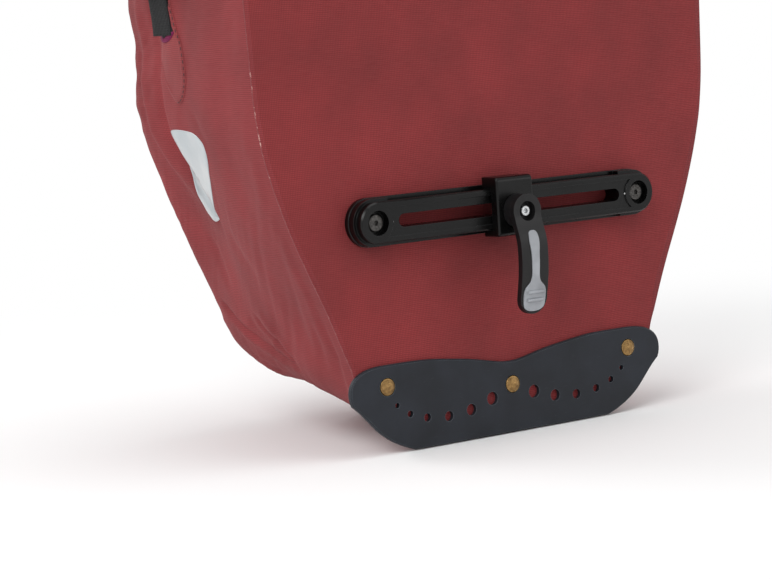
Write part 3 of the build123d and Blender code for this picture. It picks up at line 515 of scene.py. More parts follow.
CANVAS_BACK = canvas("canvas_back", (141, 53, 55))
# the rest of the shell uses the back's canvas made lighter: painted light for the side walls,
# which catch more light than the back
CANVAS_BODY_LIT = canvas("canvas_body_lit", (149, 61, 64), sheen=0.05)
CANVAS_PATCH = canvas("canvas_patch", (150, 66, 68), bump=0.5, rough=0.68, sheen=0.05)
LINING = canvas("lining_cloth", (46, 46, 48), fade=(80, 80, 82))
# the edge colours and their amounts below set each plastic's painted edge highlight
BLACK_NYLON = plastic("black_nylon", (6, 6, 6), rough=0.27, grain=0.18, bevel=0.5,
                      edge=(88, 90, 92), edge_highlight=0.14, spec=0.26)
FIN_NYLON = plastic("fin_nylon", (19, 18, 19), rough=0.42, grain=0.3, bevel=0.4,
                    edge=(95, 97, 100), edge_highlight=0.16, spec=0.3)
PROTECTOR = plastic("protector_sheet", (33, 36, 42), rough=0.5, grain=0.35,
                    edge=(130, 142, 150), edge_highlight=0.6, spec=0.24)
INSERT = plastic("insert_plastic", (70, 72, 74), rough=0.5, grain=0.3)
GREY_INLAY = plastic("inlay_plastic", (146, 149, 154), rough=0.42, edge=(205, 207, 210),
                     edge_highlight=0.4, bevel=0.25)
BUCKLE = plastic("buckle_plastic", (11, 11, 12), rough=0.3, grain=0.15,
                 edge=(110, 110, 112), edge_highlight=0.25)
BOARD = plastic("board_plastic", (50, 50, 52), rough=0.55, grain=0.5)
RUBBER = plastic("grip_rubber", (24, 24, 25), rough=0.7, grain=0.8, spec=0.25, edge_highlight=0.05)
BRASS = metal("aged_brass", (166, 132, 84), rough=0.26, patina=(66, 50, 34), amount=0.55,
              scale=0.5)
DARK_SCREW = metal("screw_dark", (92, 90, 88), rough=0.42, patina=(40, 38, 36), amount=0.5,
                   scale=0.9)
PIP_METAL = metal("pip_metal", (200, 200, 200), rough=0.35, patina=(150, 150, 150),
                  amount=0.2, scale=2.0)
STEEL = metal("screw_steel", (150, 150, 152), rough=0.34, patina=(70, 68, 66), amount=0.5,
              scale=0.9)
BRIGHT_STEEL = metal("bright_steel", (214, 216, 218), rough=0.2, patina=(120, 118, 116),
                     amount=0.3, scale=1.2)
WELD = weld()
BINDING = canvas("slot_binding", (118, 26, 72), fade=(170, 60, 120), bump=0.4)
THREAD = plastic("thread", (72, 24, 28), rough=0.6, grain=0.5, edge_highlight=0.0, bevel=0.05)
STRAP_WEB = webbing("strap_webbing", (15, 15, 16), along="Z", across="Y")
HANDLE_WEB = webbing("handle_webbing", (15, 15, 16), along="X", across="Z")
FILM = reflective()


# ------------------------------------------------------------------ the bag's section
# right half of the outline at the back, (x, z), from the floor's middle up the side wall
OUTLINE = np.array([
    (0, 0.0), (25, 0.1), (48, 0.4), (66, 2.0), (82, 7.5), (93.5, 17), (99.5, 30), (103, 46),
    (107.3, 56.5), (112.4, 69.5), (118.4, 83.5), (126, 100), (133, 116), (139.5, 133),
    (145, 150), (149.4, 168), (152, 190), (153, 215), (154, 245), (155, 280)], float)
# depth from the back, width factor, floor height at the sides, floor height in the middle,
# roof height, roof corner radius
PROFILE = np.array([
    (0.0, 1.000, 0.0, 0.0, 345.0, 14.0), (14.0, 1.004, 7.5, 0.0, 355.0, 22.0),
    (30.0, 1.008, 14.5, 0.0, 366.0, 32.0), (50.0, 1.003, 19.0, 0.0, 376.0, 40.0),
    (68.0, 0.986, 23.0, 0.0, 379.0, 44.0), (84.0, 0.966, 26.0, 0.0, 379.6, 46.0),
    (100.0, 0.949, 28.0, 0.4, 379.0, 48.0), (116.0, 0.928, 28.6, 2.2, 372.0, 52.0),
    (132.0, 0.903, 30.0, 5.5, 354.0, 56.0), (146.0, 0.876, 33.0, 10.5, 328.0, 60.0),
    (157.0, 0.848, 37.0, 17.5, 300.0, 64.0), (165.0, 0.815, 43.0, 27.0, 272.0, 66.0),
    (170.0, 0.770, 52.0, 38.0, 250.0, 66.0), (173.0, 0.690, 68.0, 56.0, 228.0, 60.0)])
WALL_TOP = OUTLINE[-1, 1]
outline_run = arc_length(OUTLINE)
outline_x, outline_z = [pchip(outline_run, OUTLINE[:, k]) for k in (0, 1)]
profile_curves = [pchip(PROFILE[:, 0], PROFILE[:, k]) for k in range(1, 6)]


def half_section(depth, count):
    """Right half outline as even points, from the floor's middle to the roof's middle."""
    width, floor_side, floor_middle, roof, radius = [float(c(depth)) for c in profile_curves]
    run = np.linspace(0, outline_run[-1], 220)
    x, z = outline_x(run), outline_z(run)
    forward = smooth(depth, 60, 150)
    side = smooth(x, 14 - 10 * forward, 80 - 14 * forward)
    floor_z = floor_side * side + floor_middle * (1 - side)
    top = min(WALL_TOP, roof - radius - 5)
    z = floor_z + z * (top - floor_z) / WALL_TOP
    x = x * width
    turn = np.linspace(0, math.pi / 2, 40)[1:]
    points = np.c_[np.r_[x, x[-1], x[-1] - radius + radius * np.cos(turn), 0.0],
                   np.r_[z, roof - radius, roof - radius + radius * np.sin(turn), roof]]
    run = arc_length(points)
    keep = np.r_[True, np.diff(run) > 1e-9]
    even = np.linspace(0, run[-1], count)
    return np.c_[np.interp(even, run[keep], points[keep, 0]),
                 np.interp(even, run[keep], points[keep, 1])]


def full_section(depth, count):
    """Closed outline: count points on the right half, and their mirror image."""
    half = half_section(depth, count)
    mirrored = half[::-1][1:-1]
    return np.r_[half, np.c_[-mirrored[:, 0], mirrored[:, 1]]]


# ------------------------------------------------------------------ the bag's body
HALF_POINTS, ROWS = 230, 92     # points round half an outline, rows from back to front
FRONT_RINGS = 34                # rings that close the front
RING_SIZE = 2 * HALF_POINTS - 2


def at_y(section, y):
    return np.c_[section[:, 0], np.full(len(section), y), section[:, 1]]


def make_body():
    # rows bunch up towards the rounded front
    depths = PROFILE[-1, 0] * (1 - (1 - np.linspace(0, 1, ROWS)) ** 1.25)
    rows = [at_y(full_section(depth, HALF_POINTS), BACK_Y + depth) for depth in depths]
    last = rows[-1]
    front = np.array([0.0, BACK_Y + 176.0, 0.5 * (last[:, 2].max() + last[:, 2].min())])
    front_rings = []
    for k in range(1, FRONT_RINGS + 1):
        t = k / (FRONT_RINGS + 1)
        ring = last + (front - last) * t
        ring[:, 1] = last[:, 1] + (front[1] - last[:, 1]) * (1 - (1 - t) ** 2)
        front_rings.append(ring)
    # the back of the body lies just behind the back panel's cloth
    back_y = BACK_Y + 1.2
    middle = np.array([0.0, back_y, 170.0])
    back_rings = []
    for t in (0.06, 0.25, 0.5, 0.75, 0.93):
        ring = middle + (rows[0] - middle) * t
        ring[:, 1] = back_y
        back_rings.append(ring)
    rings = back_rings + rows + front_rings
    return mesh_object("bag_body", np.r_[np.concatenate(rings), [middle], [front]],
                       fanned_faces(len(rings), RING_SIZE))


def relax(ob, pins, times, strength):
    """Laplacian smoothing of the unpinned points."""
    points = get_points(ob) * MM
    edges = np.empty(len(ob.data.edges) * 2, int)
    ob.data.edges.foreach_get("vertices", edges)
    a, b = edges.reshape(-1, 2).T
    count = len(points)
    degree = np.bincount(edges, minlength=count).astype(float)[:, None]
    for _ in range(times):
        total = np.stack([np.bincount(a, points[b, k], count) + np.bincount(b, points[a, k], count)
                          for k in range(3)], 1)
        points = points + (total / degree - points) * (strength * (1 - pins))[:, None]
    set_points(ob, points / MM)


def cloth_pass(ob, frames=10, cap=4.0):
    """Lets the shell swell and settle as loaded cloth, each point within cap mm of its start."""
    start = get_points(ob)
    group = ob.vertex_groups.new(name="pin")
    pins = np.clip(smooth(start[:, 1], BACK_Y + 16, BACK_Y + 4)
                   + smooth(start[:, 2], 6, 1.5) * 0.6, 0, 1)
    for i, weight in enumerate(pins):
        if weight > 0.01:
            group.add([i], float(weight), "REPLACE")
    modifier = ob.modifiers.new("cloth", "CLOTH")
    cloth = modifier.settings
    cloth.quality = 4
    cloth.mass = 0.35
    cloth.tension_stiffness = cloth.compression_stiffness = 18
    cloth.shear_stiffness = 8
    cloth.bending_stiffness = 1.2
    cloth.use_pressure = True
    cloth.uniform_pressure_force = 1.2
    cloth.vertex_group_mass = "pin"
    cloth.shrink_min = -0.009
    cloth.effector_weights.gravity = 0.25
    modifier.collision_settings.use_collision = False
    modifier.collision_settings.use_self_collision = False
    for f in range(1, frames + 1):
        scene.frame_set(f)
    evaluated = ob.evaluated_get(bpy.context.evaluated_depsgraph_get())
    mesh = evaluated.to_mesh()
    flat = np.empty(len(mesh.vertices) * 3)
    mesh.vertices.foreach_get("co", flat)
    evaluated.to_mesh_clear()
    ob.modifiers.clear()
    ob.vertex_groups.clear()
    scene.frame_set(1)
    move = flat.reshape(-1, 3) / MM - start
    length = np.linalg.norm(move, axis=1)
    move *= np.where(length > cap, cap / np.maximum(length, 1e-9), 1.0)[:, None]
    # the mean swelling is taken back out, so the bag keeps its size but gains unevenness
    normals = get_normals(ob)
    outward = np.einsum("ij,ij->i", move, normals)
    move -= normals * (outward[pins < 0.05].mean() * (1 - pins))[:, None]
    # the welded back edge keeps its side walls flatter than the loose front
    move *= (0.20 + 0.45 * smooth(start[:, 1], -45, 25)
             + 0.15 * smooth(start[:, 2], 110, 60))[:, None]
    set_points(ob, start + move)


def roughen(ob):
    """Gentle unevenness of a packed cloth shell."""
    points, normals = get_points(ob), get_normals(ob)
    calm = 1 - np.clip(smooth(points[:, 1], BACK_Y + 20, BACK_Y + 4)
                       + smooth(points[:, 2], 8, 2), 0, 1)
    height = np.array([noise.noise(Vector(p) * 0.014 + Vector((3.1, 0, 0))) * 2.2
                       + noise.noise(Vector((p[0] * 0.03, p[1] * 0.05, p[2] * 0.012)))
                       for p in points])
    set_points(ob, points + normals * (height * calm * 0.75)[:, None])


def along_line(points, line):
    """Distance from each point to a polyline, and the share of its length at the nearest spot."""
    nearest, share = np.full(len(points), 1e9), np.zeros(len(points))
    run = arc_length(line)
    run /= run[-1]
    for i in range(len(line) - 1):
        start, step = line[i], line[i + 1] - line[i]
        t = np.clip(((points - start) @ step) / (step @ step), 0, 1)
        distance = np.linalg.norm(points - (start + t[:, None] * step), axis=1)
        closer = distance < nearest
        nearest[closer] = distance[closer]
        share[closer] = (run[i] + t * (run[i + 1] - run[i]))[closer]
    return nearest, share


def crease(ob, line, height, width, ends, power=2.0):
    """Raises (height > 0) or sinks a fold along a line; it fades out over the share ends."""
    points, normals = get_points(ob), get_normals(ob)
    distance, share = along_line(points, np.array(line, float))
    bell = np.exp(-(distance / width) ** power)
    fade = smooth(share, 0, ends) * smooth(1 - share, 0, ends)
    set_points(ob, points + normals * (height * bell * fade)[:, None])


# Folds of the left side: line, height, width, share that fades at each end, power.
SIDE_FOLDS = [
    # the strap anchor stands out from the cloth around it
    ([(-150, -2, 292), (-150, 2, 250), (-149, 3, 222), (-147, 0, 198)], 3.2, 16.0, 0.22, 2.4),
    # valley in front of the anchor, running down along the reflective patch's front edge
    ([(-146, 30, 300), (-148, 29, 262), (-148, 29, 236), (-146, 30, 212), (-143, 32, 190),
      (-140, 32, 172), (-136, 29, 156), (-131, 27, 142), (-125, 23, 128), (-118, 20, 112)],
     -4.4, 5.2, 0.14, 2.0),
    # soft ridge in front of that valley
    ([(-141, 48, 262), (-140, 49, 228), (-138, 50, 200), (-135, 48, 175), (-130, 43, 152),
      (-124, 37, 130)], 3.4, 6.4, 0.22, 2.0),
    # second, shorter fold nearer the front, with its own crest
    ([(-131, 64, 236), (-130, 64, 208), (-128, 60, 184), (-124, 54, 160)],
     -3.0, 4.2, 0.3, 2.0),
    ([(-126, 74, 228), (-125, 73, 207), (-123, 69, 188)], 2.2, 4.2, 0.3, 2.0),
    # short cross tuck that nicks the front corner, and the swelling under it
    ([(-118, 84, 214), (-128, 74, 206), (-135, 58, 200)], -2.0, 4.5, 0.3, 2.0),
    ([(-116, 84, 198), (-126, 74, 190), (-133, 60, 184)], 1.4, 6.0, 0.3, 2.0),
    # long slack dent between seam and patch
    ([(-151, -58, 215), (-150, -50, 178), (-142, -46, 145), (-131, -44, 112)],
     -1.0, 12.0, 0.3, 2.0),
    # the anchor's end pulls a short tuck downwards
    ([(-149, -11, 190), (-147, -17, 180), (-145, -24, 166)], -0.7, 4.0, 0.3, 1.8),
    # shallow diagonals below the patch
    ([(-124, 10, 122), (-118, 0, 108), (-112, -16, 92)], -1.0, 7.0, 0.3, 2.0),
    ([(-112, 54, 118), (-107, 48, 96), (-101, 42, 80)], -1.4, 5.0, 0.3, 2.0),
]
# Folded box corners at the bottom, the same on both sides; columns as above.
CORNER_FOLDS = [
    # the front corner bulges below the first crease
    ([(-78, 78, 60), (-74, 56, 44), (-70, 30, 32)], 2.6, 13.0, 0.3, 2.4),
    ([(-93, 70, 78), (-92, 60, 69), (-93, 47, 61), (-94, 26, 52), (-92, 3, 44),
      (-88, -15, 36)], -2.6, 2.6, 0.16, 1.6),
    ([(-90, 58, 62), (-90, 44, 55), (-90, 24, 46), (-88, 4, 38)], 1.5, 3.2, 0.25, 2.0),
    ([(-101, 20, 72), (-98, 14, 65), (-97, 8, 59), (-97, 0, 54), (-94, -7, 46),
      (-89, -13, 38)], -2.4, 2.3, 0.2, 1.6),
    ([(-104, 10, 74), (-102, 4, 66), (-100, -4, 58), (-96, -12, 48)], 1.3, 3.4, 0.25, 2.0),
    ([(-98, 32, 66), (-96, 20, 58), (-95, 8, 52)], -1.6, 6.0, 0.3, 2.0),
    ([(-84, 66, 46), (-82, 44, 37), (-79, 22, 28)], -0.9, 3.0, 0.3, 1.8),
]
# Slack diagonals and dents of the front face: line, height, width, share that fades.
FRONT_FOLDS = [
    ([(-70, 88, 250), (-30, 90, 205), (25, 90, 170)], -1.6, 12, 0.35),
    ([(80, 88, 235), (48, 90, 195), (30, 90, 150)], -1.3, 10, 0.35),
    ([(-60, 80, 300), (0, 74, 292), (66, 80, 302)], -1.6, 9, 0.3),
    ([(-90, 84, 120), (-50, 88, 95), (-10, 88, 84)], -1.2, 8, 0.35),
]
# Gathers from the roll down over both shoulders: x, length, height.
GATHERS = [(-96, 42, -1.7), (-62, 30, -1.2), (-30, 38, -1.4), (8, 26, -1.1), (44, 40, -1.6),
           (82, 34, -1.3), (104, 46, -1.8)]
# How far the front corners hang in: z, pull.
CORNER_PULL = [
    (44, 12), (50, 9), (56, 7), (62, 4.5), (70, 4.7), (78, 5.5), (87, 6.3), (94, 7.9),
    (101, 9.7), (108, 11.3), (115, 12.2), (121, 12.6), (128, 12.3), (135, 11.4), (149, 8.6),
    (162, 4.3), (175, 1), (190, 0), (205, 0), (214, 2), (222, 2.8), (231, 1.8), (242, 0)]


def fold_body(ob):
    for line, height, width, ends, power in SIDE_FOLDS:
        crease(ob, line, height, width, ends, power)
        # the right side has the same folds, shifted, softer and wider
        shifted = [(-x, y + 3, z - 4) for x, y, z in line]
        crease(ob, shifted, height * 0.85, width * 1.1, ends, power)
    for line, height, width, ends, power in CORNER_FOLDS:
        for sign in (1, -1):
            crease(ob, [(sign * x, y, z) for x, y, z in line], height, width, ends, power)
    for fold in FRONT_FOLDS:
        crease(ob, *fold)
    for x, length, height in GATHERS:
        for way in (-1, 1):
            line = [(x, ROLL_Y + way * 10, 380),
                    (x * 0.99, ROLL_Y + way * (18 + length * 0.3), 378),
                    (x * 0.97 + 3 * way, ROLL_Y + way * (24 + length), 362)]
            crease(ob, line, height, width=4.5, ends=0.25)


def hang_corners(ob):
    """Draws loaded cloth in at the front corners, between the shoulder and the floor."""
    points = get_points(ob)
    forward = smooth(points[:, 1] - BACK_Y, 55, 130)
    pull = np.interp(points[:, 2], *zip(*CORNER_PULL))
    points[:, 0] *= 1 - pull * forward / 125.0
    set_points(ob, points)


def refine(ob, size):
    """Doubles the points round every ring with cubic interpolation."""
    points = get_points(ob)
    count = (len(points) - 2) // size
    rings = points[:count * size].reshape(count, size, 3)
    finer = np.empty((count, 2 * size, 3))
    finer[:, 0::2] = rings
    finer[:, 1::2] = (9 * (rings + np.roll(rings, -1, 1))
                      - np.roll(rings, 1, 1) - np.roll(rings, -2, 1)) / 16.0
    new = mesh_object("tmp", np.r_[finer.reshape(-1, 3), points[-2:]],
                      fanned_faces(count, 2 * size))
    old = ob.data
    ob.data = new.data
    bpy.data.objects.remove(new)
    bpy.data.meshes.remove(old)


body = make_body()
# the front shoulder and the roof corners get a cloth radius
relax(body, smooth(get_points(body)[:, 1], BACK_Y + 14, BACK_Y + 3), times=14, strength=0.5)
cloth_pass(body)
roughen(body)
fold_body(body)
hang_corners(body)
refine(body, RING_SIZE)
register(body, CANVAS_BODY_LIT, "shell_fabric", "left_gusset", "right_gusset", "front_panel",
         "bottom_panel", "top_collar")
body_tree = BVHTree.FromPolygons([v.co.copy() for v in body.data.vertices],
                                 [tuple(p.vertices) for p in body.data.polygons])


def on_side(sign, y, z, offset):
    """Point at (y, z) on the side cloth, raised by offset along its normal."""
    hit, normal, _, _ = body_tree.ray_cast(Vector((sign * 260, y, z)) * MM,
                                           Vector((-sign, 0, 0)))
    if hit is None:
        point, normal = np.array([sign * 150.0, y, z]), np.array([sign, 0, 0])
    else:
        point, normal = np.array(hit) / MM, np.array(normal)
    if normal[0] * sign < 0:
        normal = -normal
    return point + normal * offset


# ------------------------------------------------------------------ back panel
PANEL_MIDDLE_Z = 165.0
PANEL_THICK = 1.55
# (inset from the outline, y from the back plane) over the panel's rounded edge
PANEL_EDGE = [(4.0, 0.0), (2.2, 0.05), (1.0, 0.28), (0.25, 0.7), (0.0, 1.15), (0.1, 1.5),
              (0.7, PANEL_THICK)]
# (height, half length) of the rails that hold the cloth flat
RAILS = [(LOWER_RAIL_Z, 104.0), (UPPER_RAIL_Z, 132.0)]


def back_panel():
    outline = full_section(0.0, 260)
    along = np.roll(outline, -1, 0) - np.roll(outline, 1, 0)
    outward = np.c_[along[:, 1], -along[:, 0]]
    outward /= np.linalg.norm(outward, axis=1)[:, None]

    def ring(inset, depth):
        return at_y(outline - outward * inset, BACK_Y + depth)
    outer, inner = ring(4.0, 0.0), ring(4.0, PANEL_THICK)
    outer_middle = np.array([0.0, BACK_Y, PANEL_MIDDLE_Z])
    inner_middle = np.array([0.0, BACK_Y + PANEL_THICK, PANEL_MIDDLE_Z])
    rings = [outer + (outer_middle - outer) * (k / 61.0) for k in range(60, 0, -1)]
    rings += [ring(inset, depth) for inset, depth in PANEL_EDGE]
    rings += [inner + (inner_middle - inner) * t for t in (0.0, 0.35, 0.7, 0.95)]
    ob = mesh_object("back_cloth", np.r_[np.concatenate(rings), [outer_middle], [inner_middle]],
                     fanned_faces(len(rings), len(outline)))
    # the cloth is drawn in round the rails and lies slightly slack between them
    points = get_points(ob)
    slack = np.array([noise.noise(Vector((p[0] * 0.012, 4.0, p[2] * 0.012))) * 0.55
                      + noise.noise(Vector((p[0] * 0.03, 9.0, p[2] * 0.02))) * 0.25
                      for p in points])
    loose = np.ones(len(points))
    for rail_z, half_length in RAILS:
        beyond = np.maximum(np.abs(points[:, 0]) - half_length, 0)
        loose *= smooth(np.hypot(beyond, points[:, 2] - rail_z), 14, 34)
    loose *= smooth(points[:, 2], 50, 66)
    points[:, 1] += np.where(points[:, 1] < BACK_Y + 0.5, (np.abs(slack) + 0.1) * loose, 0)
    set_points(ob, points)
    return ob


def weld_bead():
    """Bead between the back panel and the gusset, of uneven thickness."""
    path = at_y(full_section(0.6, 420), BACK_Y + 1.0)
    angle = np.linspace(0, 2 * math.pi, 9)[:-1]
    section = np.c_[0.5 * np.cos(angle), 0.26 * np.sin(angle)]
    scale = [1.0 + 0.3 * noise.noise(Vector(p) * 0.11) for p in path]
    return sweep("weld_bead", path, section, closed=True, scale=scale)


register(back_panel(), CANVAS_BACK, "shell_fabric", "back_panel")
register(weld_bead(), WELD, "shell_fabric")

# ------------------------------------------------------------------ patches on the side cloth
# Outlines, (y, z).
TONGUE = [(1.6, 190.7), (-4.5, 192.2), (-9.5, 196.5), (-13.8, 203.5), (-15.5, 213),
          (-14.1, 222), (-10.6, 230), (-8.4, 240), (-6.5, 247), (3, 250), (14, 249),
          (19, 243), (20, 232), (19.4, 222), (17.4, 212), (13.6, 203), (8.6, 195.2)]
REFLECTOR = [(28.5, 168.5), (28.4, 173.2), (23.0, 176.0), (13.5, 176.7), (3.4, 176.2),
             (-7.8, 174.8), (-15.3, 171.5), (-18.5, 167.4), (-16.2, 160.0), (-6.6, 150.0),
             (3.8, 140.1), (18.0, 128.4), (25.0, 124.3), (30.8, 123.7), (35.8, 128.0),
             (36.6, 134.5), (33.0, 146.0), (30.0, 157.5)]
SLOT = [(-7.6, 229.0), (-2, 226.6), (4, 225.6), (10, 226.4), (14.2, 229.0), (13.4, 232.4),
        (6, 232.8), (-2, 232.6), (-7.0, 232.0)]
SLOT_LIP = [(-9.0, 228.8), (-3, 225.0), (4, 223.8), (11, 224.8), (15.4, 228.2),
            (14.6, 229.4), (10, 226.6), (4, 225.6), (-2, 226.6), (-7.4, 229.6)]
STITCH_LENGTH, STITCH_PITCH, STITCH_HALF_WIDTH = 2.3, 3.6, 0.17


def patch(name, sign, outline, thick, count, edge=1.2, rim=0.0, inner_rings=16):
    """Thin closed sheet laid on the side cloth; rim raises a hem just inside the edge."""
    loop = smooth_loop(outline, count)
    centre = loop.mean(0)
    span = np.linalg.norm(loop - centre, axis=1).mean()
    # (share of the way to the centre, height above the cloth), from the underside up
    steps = [(0.97, -0.5), (0.0, -0.5), (0.0, 0.06), (edge * 0.35 / span, thick * 0.7),
             (edge / span, thick)]
    if rim:
        steps += [(1.9 / span, thick + rim * 0.4), (2.6 / span, thick + rim),
                  (3.4 / span, thick + rim * 0.3), (4.4 / span, thick)]
    start = steps[-1][0]
    steps += [(start + (0.985 - start) * k / inner_rings, thick)
              for k in range(1, inner_rings + 1)]
    return tube(name, [np.array([on_side(sign, *(p + (centre - p) * share), height)
                                 for p in loop]) for share, height in steps])


def stitches(name, sign):
    """Row of stitches along the tongue's rear edge."""
    loop = smooth_loop(TONGUE, 260)
    centre = loop.mean(0)
    run = arc_length(loop)

    def hem_point(at):
        point = np.array([np.interp(at, run, loop[:, k]) for k in (0, 1)])
        return point + (centre - point) * 0.035
    points, faces = [], []
    at = 1.0
    while at < run[-1] * 0.42:
        a, b = hem_point(at), hem_point(at + STITCH_LENGTH)
        along = (b - a) / np.linalg.norm(b - a)
        across = np.array([-along[1], along[0]]) * STITCH_HALF_WIDTH
        base = len(points)
        arch = ((a, 0.35), (a + along * 0.4, 0.72), ((a + b) / 2, 0.82),
                (b - along * 0.4, 0.72), (b, 0.35))
        points += [on_side(sign, *(p + across * way), height + 0.25)
                   for p, height in arch for way in (-1, 1)]
        points += [on_side(sign, *(p + across * way), 0.1) for p in (a, b) for way in (-1, 1)]
        stitch = [(2 * k, 2 * k + 1, 2 * k + 3, 2 * k + 2) for k in range(4)]
        stitch += [(0, 10, 11, 1), (8, 9, 13, 12), (10, 12, 13, 11),
                   (0, 2, 4, 6, 8, 12, 10), (1, 11, 13, 9, 7, 5, 3)]
        faces += [tuple(base + i for i in face) for face in stitch]
        at += STITCH_PITCH
    return mesh_object(name, points, faces)


for sign, side in SIDES:
    register(patch(f"{side}_anchor_tongue", sign, TONGUE, thick=0.75, count=150, rim=0.35),
             CANVAS_PATCH, "shell_fabric", f"{side}_strap_anchor")
    register(patch(f"{side}_reflective_patch", sign, REFLECTOR, thick=0.34, count=140, edge=0.7),
             FILM, "reflective_film", f"{side}_reflector")
    # dark sheet in the tongue's slot, in the webbing's black: painted shade for the opening the
    # strap goes into, with a binding along its lower lip
    register(patch(f"{side}_slot_shade_sheet", sign, SLOT, thick=1.15, count=60, edge=0.5,
                   inner_rings=5), STRAP_WEB, "webbing")
    register(patch(f"{side}_slot_binding", sign, SLOT_LIP, thick=1.25, count=60, edge=0.4,
                   inner_rings=3), BINDING, "shell_fabric")
    register(stitches(f"{side}_anchor_stitches", sign), THREAD, "shell_fabric")

# ------------------------------------------------------------------ side straps
STRAP_WIDTH = 19.2
# heights at which the strap lies on the cloth
STRAP_CLOTH_Z = (227.5, 234, 241, 249)
# (distance from the middle, z): up from the cloth and looped round the plug's bars
STRAP_LOOP = [(156.0, 257), (158.0, 265), (158.3, 272.4), (160.2, 276.8), (164.2, 279.4),
              (168.4, 281.0), (170.5, 283.4), (168.2, 285.6), (164.0, 284.0), (161.0, 281.0),
              (160.0, 276.0), (163.5, 272.6), (167.5, 271.0), (168.6, 266.0), (166.4, 258),
              (163.4, 252)]
# same columns: from the roll's ear down, round the socket's top bar and back up
TAB_LOOP = [(160.4, 339), (160.6, 333), (160.0, 329), (161.5, 325.6), (164.2, 325.2),
            (167.4, 326.2), (170.1, 329.0), (169.6, 332.6), (166.5, 336), (165.0, 339)]

for sign, side in SIDES:
    cloth_x = [on_side(sign, STRAP_Y, z, 1.9)[0] for z in STRAP_CLOTH_Z]
    cloth_x[-1] += sign * 0.4
    line = [(x, STRAP_Y, z) for x, z in zip(cloth_x, STRAP_CLOTH_Z)]
    line += [(sign * x, STRAP_Y, z) for x, z in STRAP_LOOP]
    strap = sweep(f"{side}_side_webbing", resample(line, step=1.6),
                  webbing_section(STRAP_WIDTH, thick=1.35))
    register(strap, STRAP_WEB, "webbing", f"{side}_side_strap", ride=None)
    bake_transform(strap)
    line = [(sign * x, STRAP_Y, z) for x, z in TAB_LOOP]
    tab = sweep(f"{side}_ear_tab", resample(line, step=1.2),
                webbing_section(STRAP_WIDTH, thick=1.3))
    register(tab, STRAP_WEB, "webbing", f"{side}_roll_tab")

# ------------------------------------------------------------------ rolled closure
ROLL_TURNS, ROLL_LAYER = 2.6, 1.9
ROLL_HALF_WIDTH, ROLL_HALF_THICK = 21.6, 7.2        # of the outermost turn
CORE_HALF_WIDTH, CORE_HALF_THICK = 7.0, 1.2         # of the innermost turn
ROLL_STRAIGHT = 129.0       # half length of the straight top
ROLL_BEND = 36.0            # radius of the bend into each ear
ROLL_Z, EAR_END_Z = 389.0, 337.6
# (z, half thickness, half length) of the cloth between the shoulder and the roll
NECK = [(371, 8.0, 126), (375, 5.0, 124), (378.5, 2.6, 123), (381, 1.8, 122.5),
        (384.0, 1.6, 122)]


def roll_section():
    """Flattened spiral (y, height off the path): its outer face, then back along the inner."""
    angle = np.linspace(0, 2 * math.pi * ROLL_TURNS, 150)
    k = angle / angle[-1]
    half_y = CORE_HALF_WIDTH + (ROLL_HALF_WIDTH - CORE_HALF_WIDTH) * k
    half_z = CORE_HALF_THICK + (ROLL_HALF_THICK - CORE_HALF_THICK) * k
    outer = superellipse(angle + math.pi, half_y, half_z, 0.75, 0.7)
    inner = superellipse(angle + math.pi, np.maximum(half_y - ROLL_LAYER, 0.4),
                         np.maximum(half_z - ROLL_LAYER * 0.82, 0.15), 0.75, 0.7)
    return np.r_[outer, inner[::-1]]


def roll_path():
    """(x, z) along the top and down both ears."""
    bend_z = ROLL_Z - ROLL_BEND
    top = [(x, ROLL_Z - 0.6 + 0.8 * math.sin(x * 0.05) + 0.5 * math.sin(x * 0.13 + 1))
           for x in np.linspace(-ROLL_STRAIGHT, ROLL_STRAIGHT, 80)]
    ear = [(ROLL_STRAIGHT + ROLL_BEND * math.sin(t), bend_z + (ROLL_BEND - 0.6) * math.cos(t))
           for t in np.linspace(0, math.pi / 2, 22)[1:]]
    ear += [(ROLL_STRAIGHT + ROLL_BEND - 0.6 * k, bend_z - (bend_z - EAR_END_Z) * k)
            for k in np.linspace(0, 1, 9)[1:]]
    return np.array([(-x, z) for x, z in ear[::-1]] + top + ear)


def roll():
    """The mouth's stiffened hem rolled up on itself."""
    section, path = roll_section(), roll_path()
    rings = []
    for i, (x, z) in enumerate(path):
        along = tangent(path, i)
        past = abs(x) - ROLL_STRAIGHT
        # ears taper a little and crumple on the bend
        bend = float(smooth(past, -12, 10)) * float(1 - smooth(ROLL_Z - ROLL_BEND - z, 2, 14))
        taper = 1.0 - 0.10 * float(smooth(past, 10, 36)) + 0.02 * math.sin(x * 0.11)
        height = section[:, 1] * (1 - 0.06 * bend * math.sin(i * 1.9))
        wrinkle = np.array([
            noise.noise(Vector((x * 0.05, y * 0.09, z * 0.05))) * 0.75
            + noise.noise(Vector((x * 0.16, y * 0.12, z * 0.16))) * 0.35 * (0.4 + bend)
            for y in section[:, 0]])
        offset = height + (wrinkle * np.sign(section[:, 1])
                           * np.clip(np.abs(section[:, 1]) / ROLL_HALF_THICK, 0, 1))
        rings.append(np.c_[x - along[1] * offset, ROLL_Y + section[:, 0] * taper,
                           z + along[0] * offset])
    return tube("rolled_mouth", rings)


def roll_neck():
    """Double layer of cloth between the shoulder and the roll."""
    rings = []
    for z, thick, half_length in NECK:
        xs = np.linspace(-half_length, half_length, 90)
        y = ROLL_Y + np.array([1.6 * noise.noise(Vector((x * 0.04, z * 0.02, 5))) for x in xs])
        level = np.full(90, z)
        rings.append(np.r_[np.c_[xs, y - thick, level], np.c_[xs[::-1], y[::-1] + thick, level]])
    return tube("roll_neck", rings)


register(roll(), CANVAS_BODY_LIT, "shell_fabric", "roll_top")
register(roll_neck(), CANVAS_BODY_LIT, "shell_fabric")

# ------------------------------------------------------------------ handle
HANDLE_Y, HANDLE_Z = -98.95, 366.0
HANDLE_X = 75.0             # distance of the upright strap ends from the middle
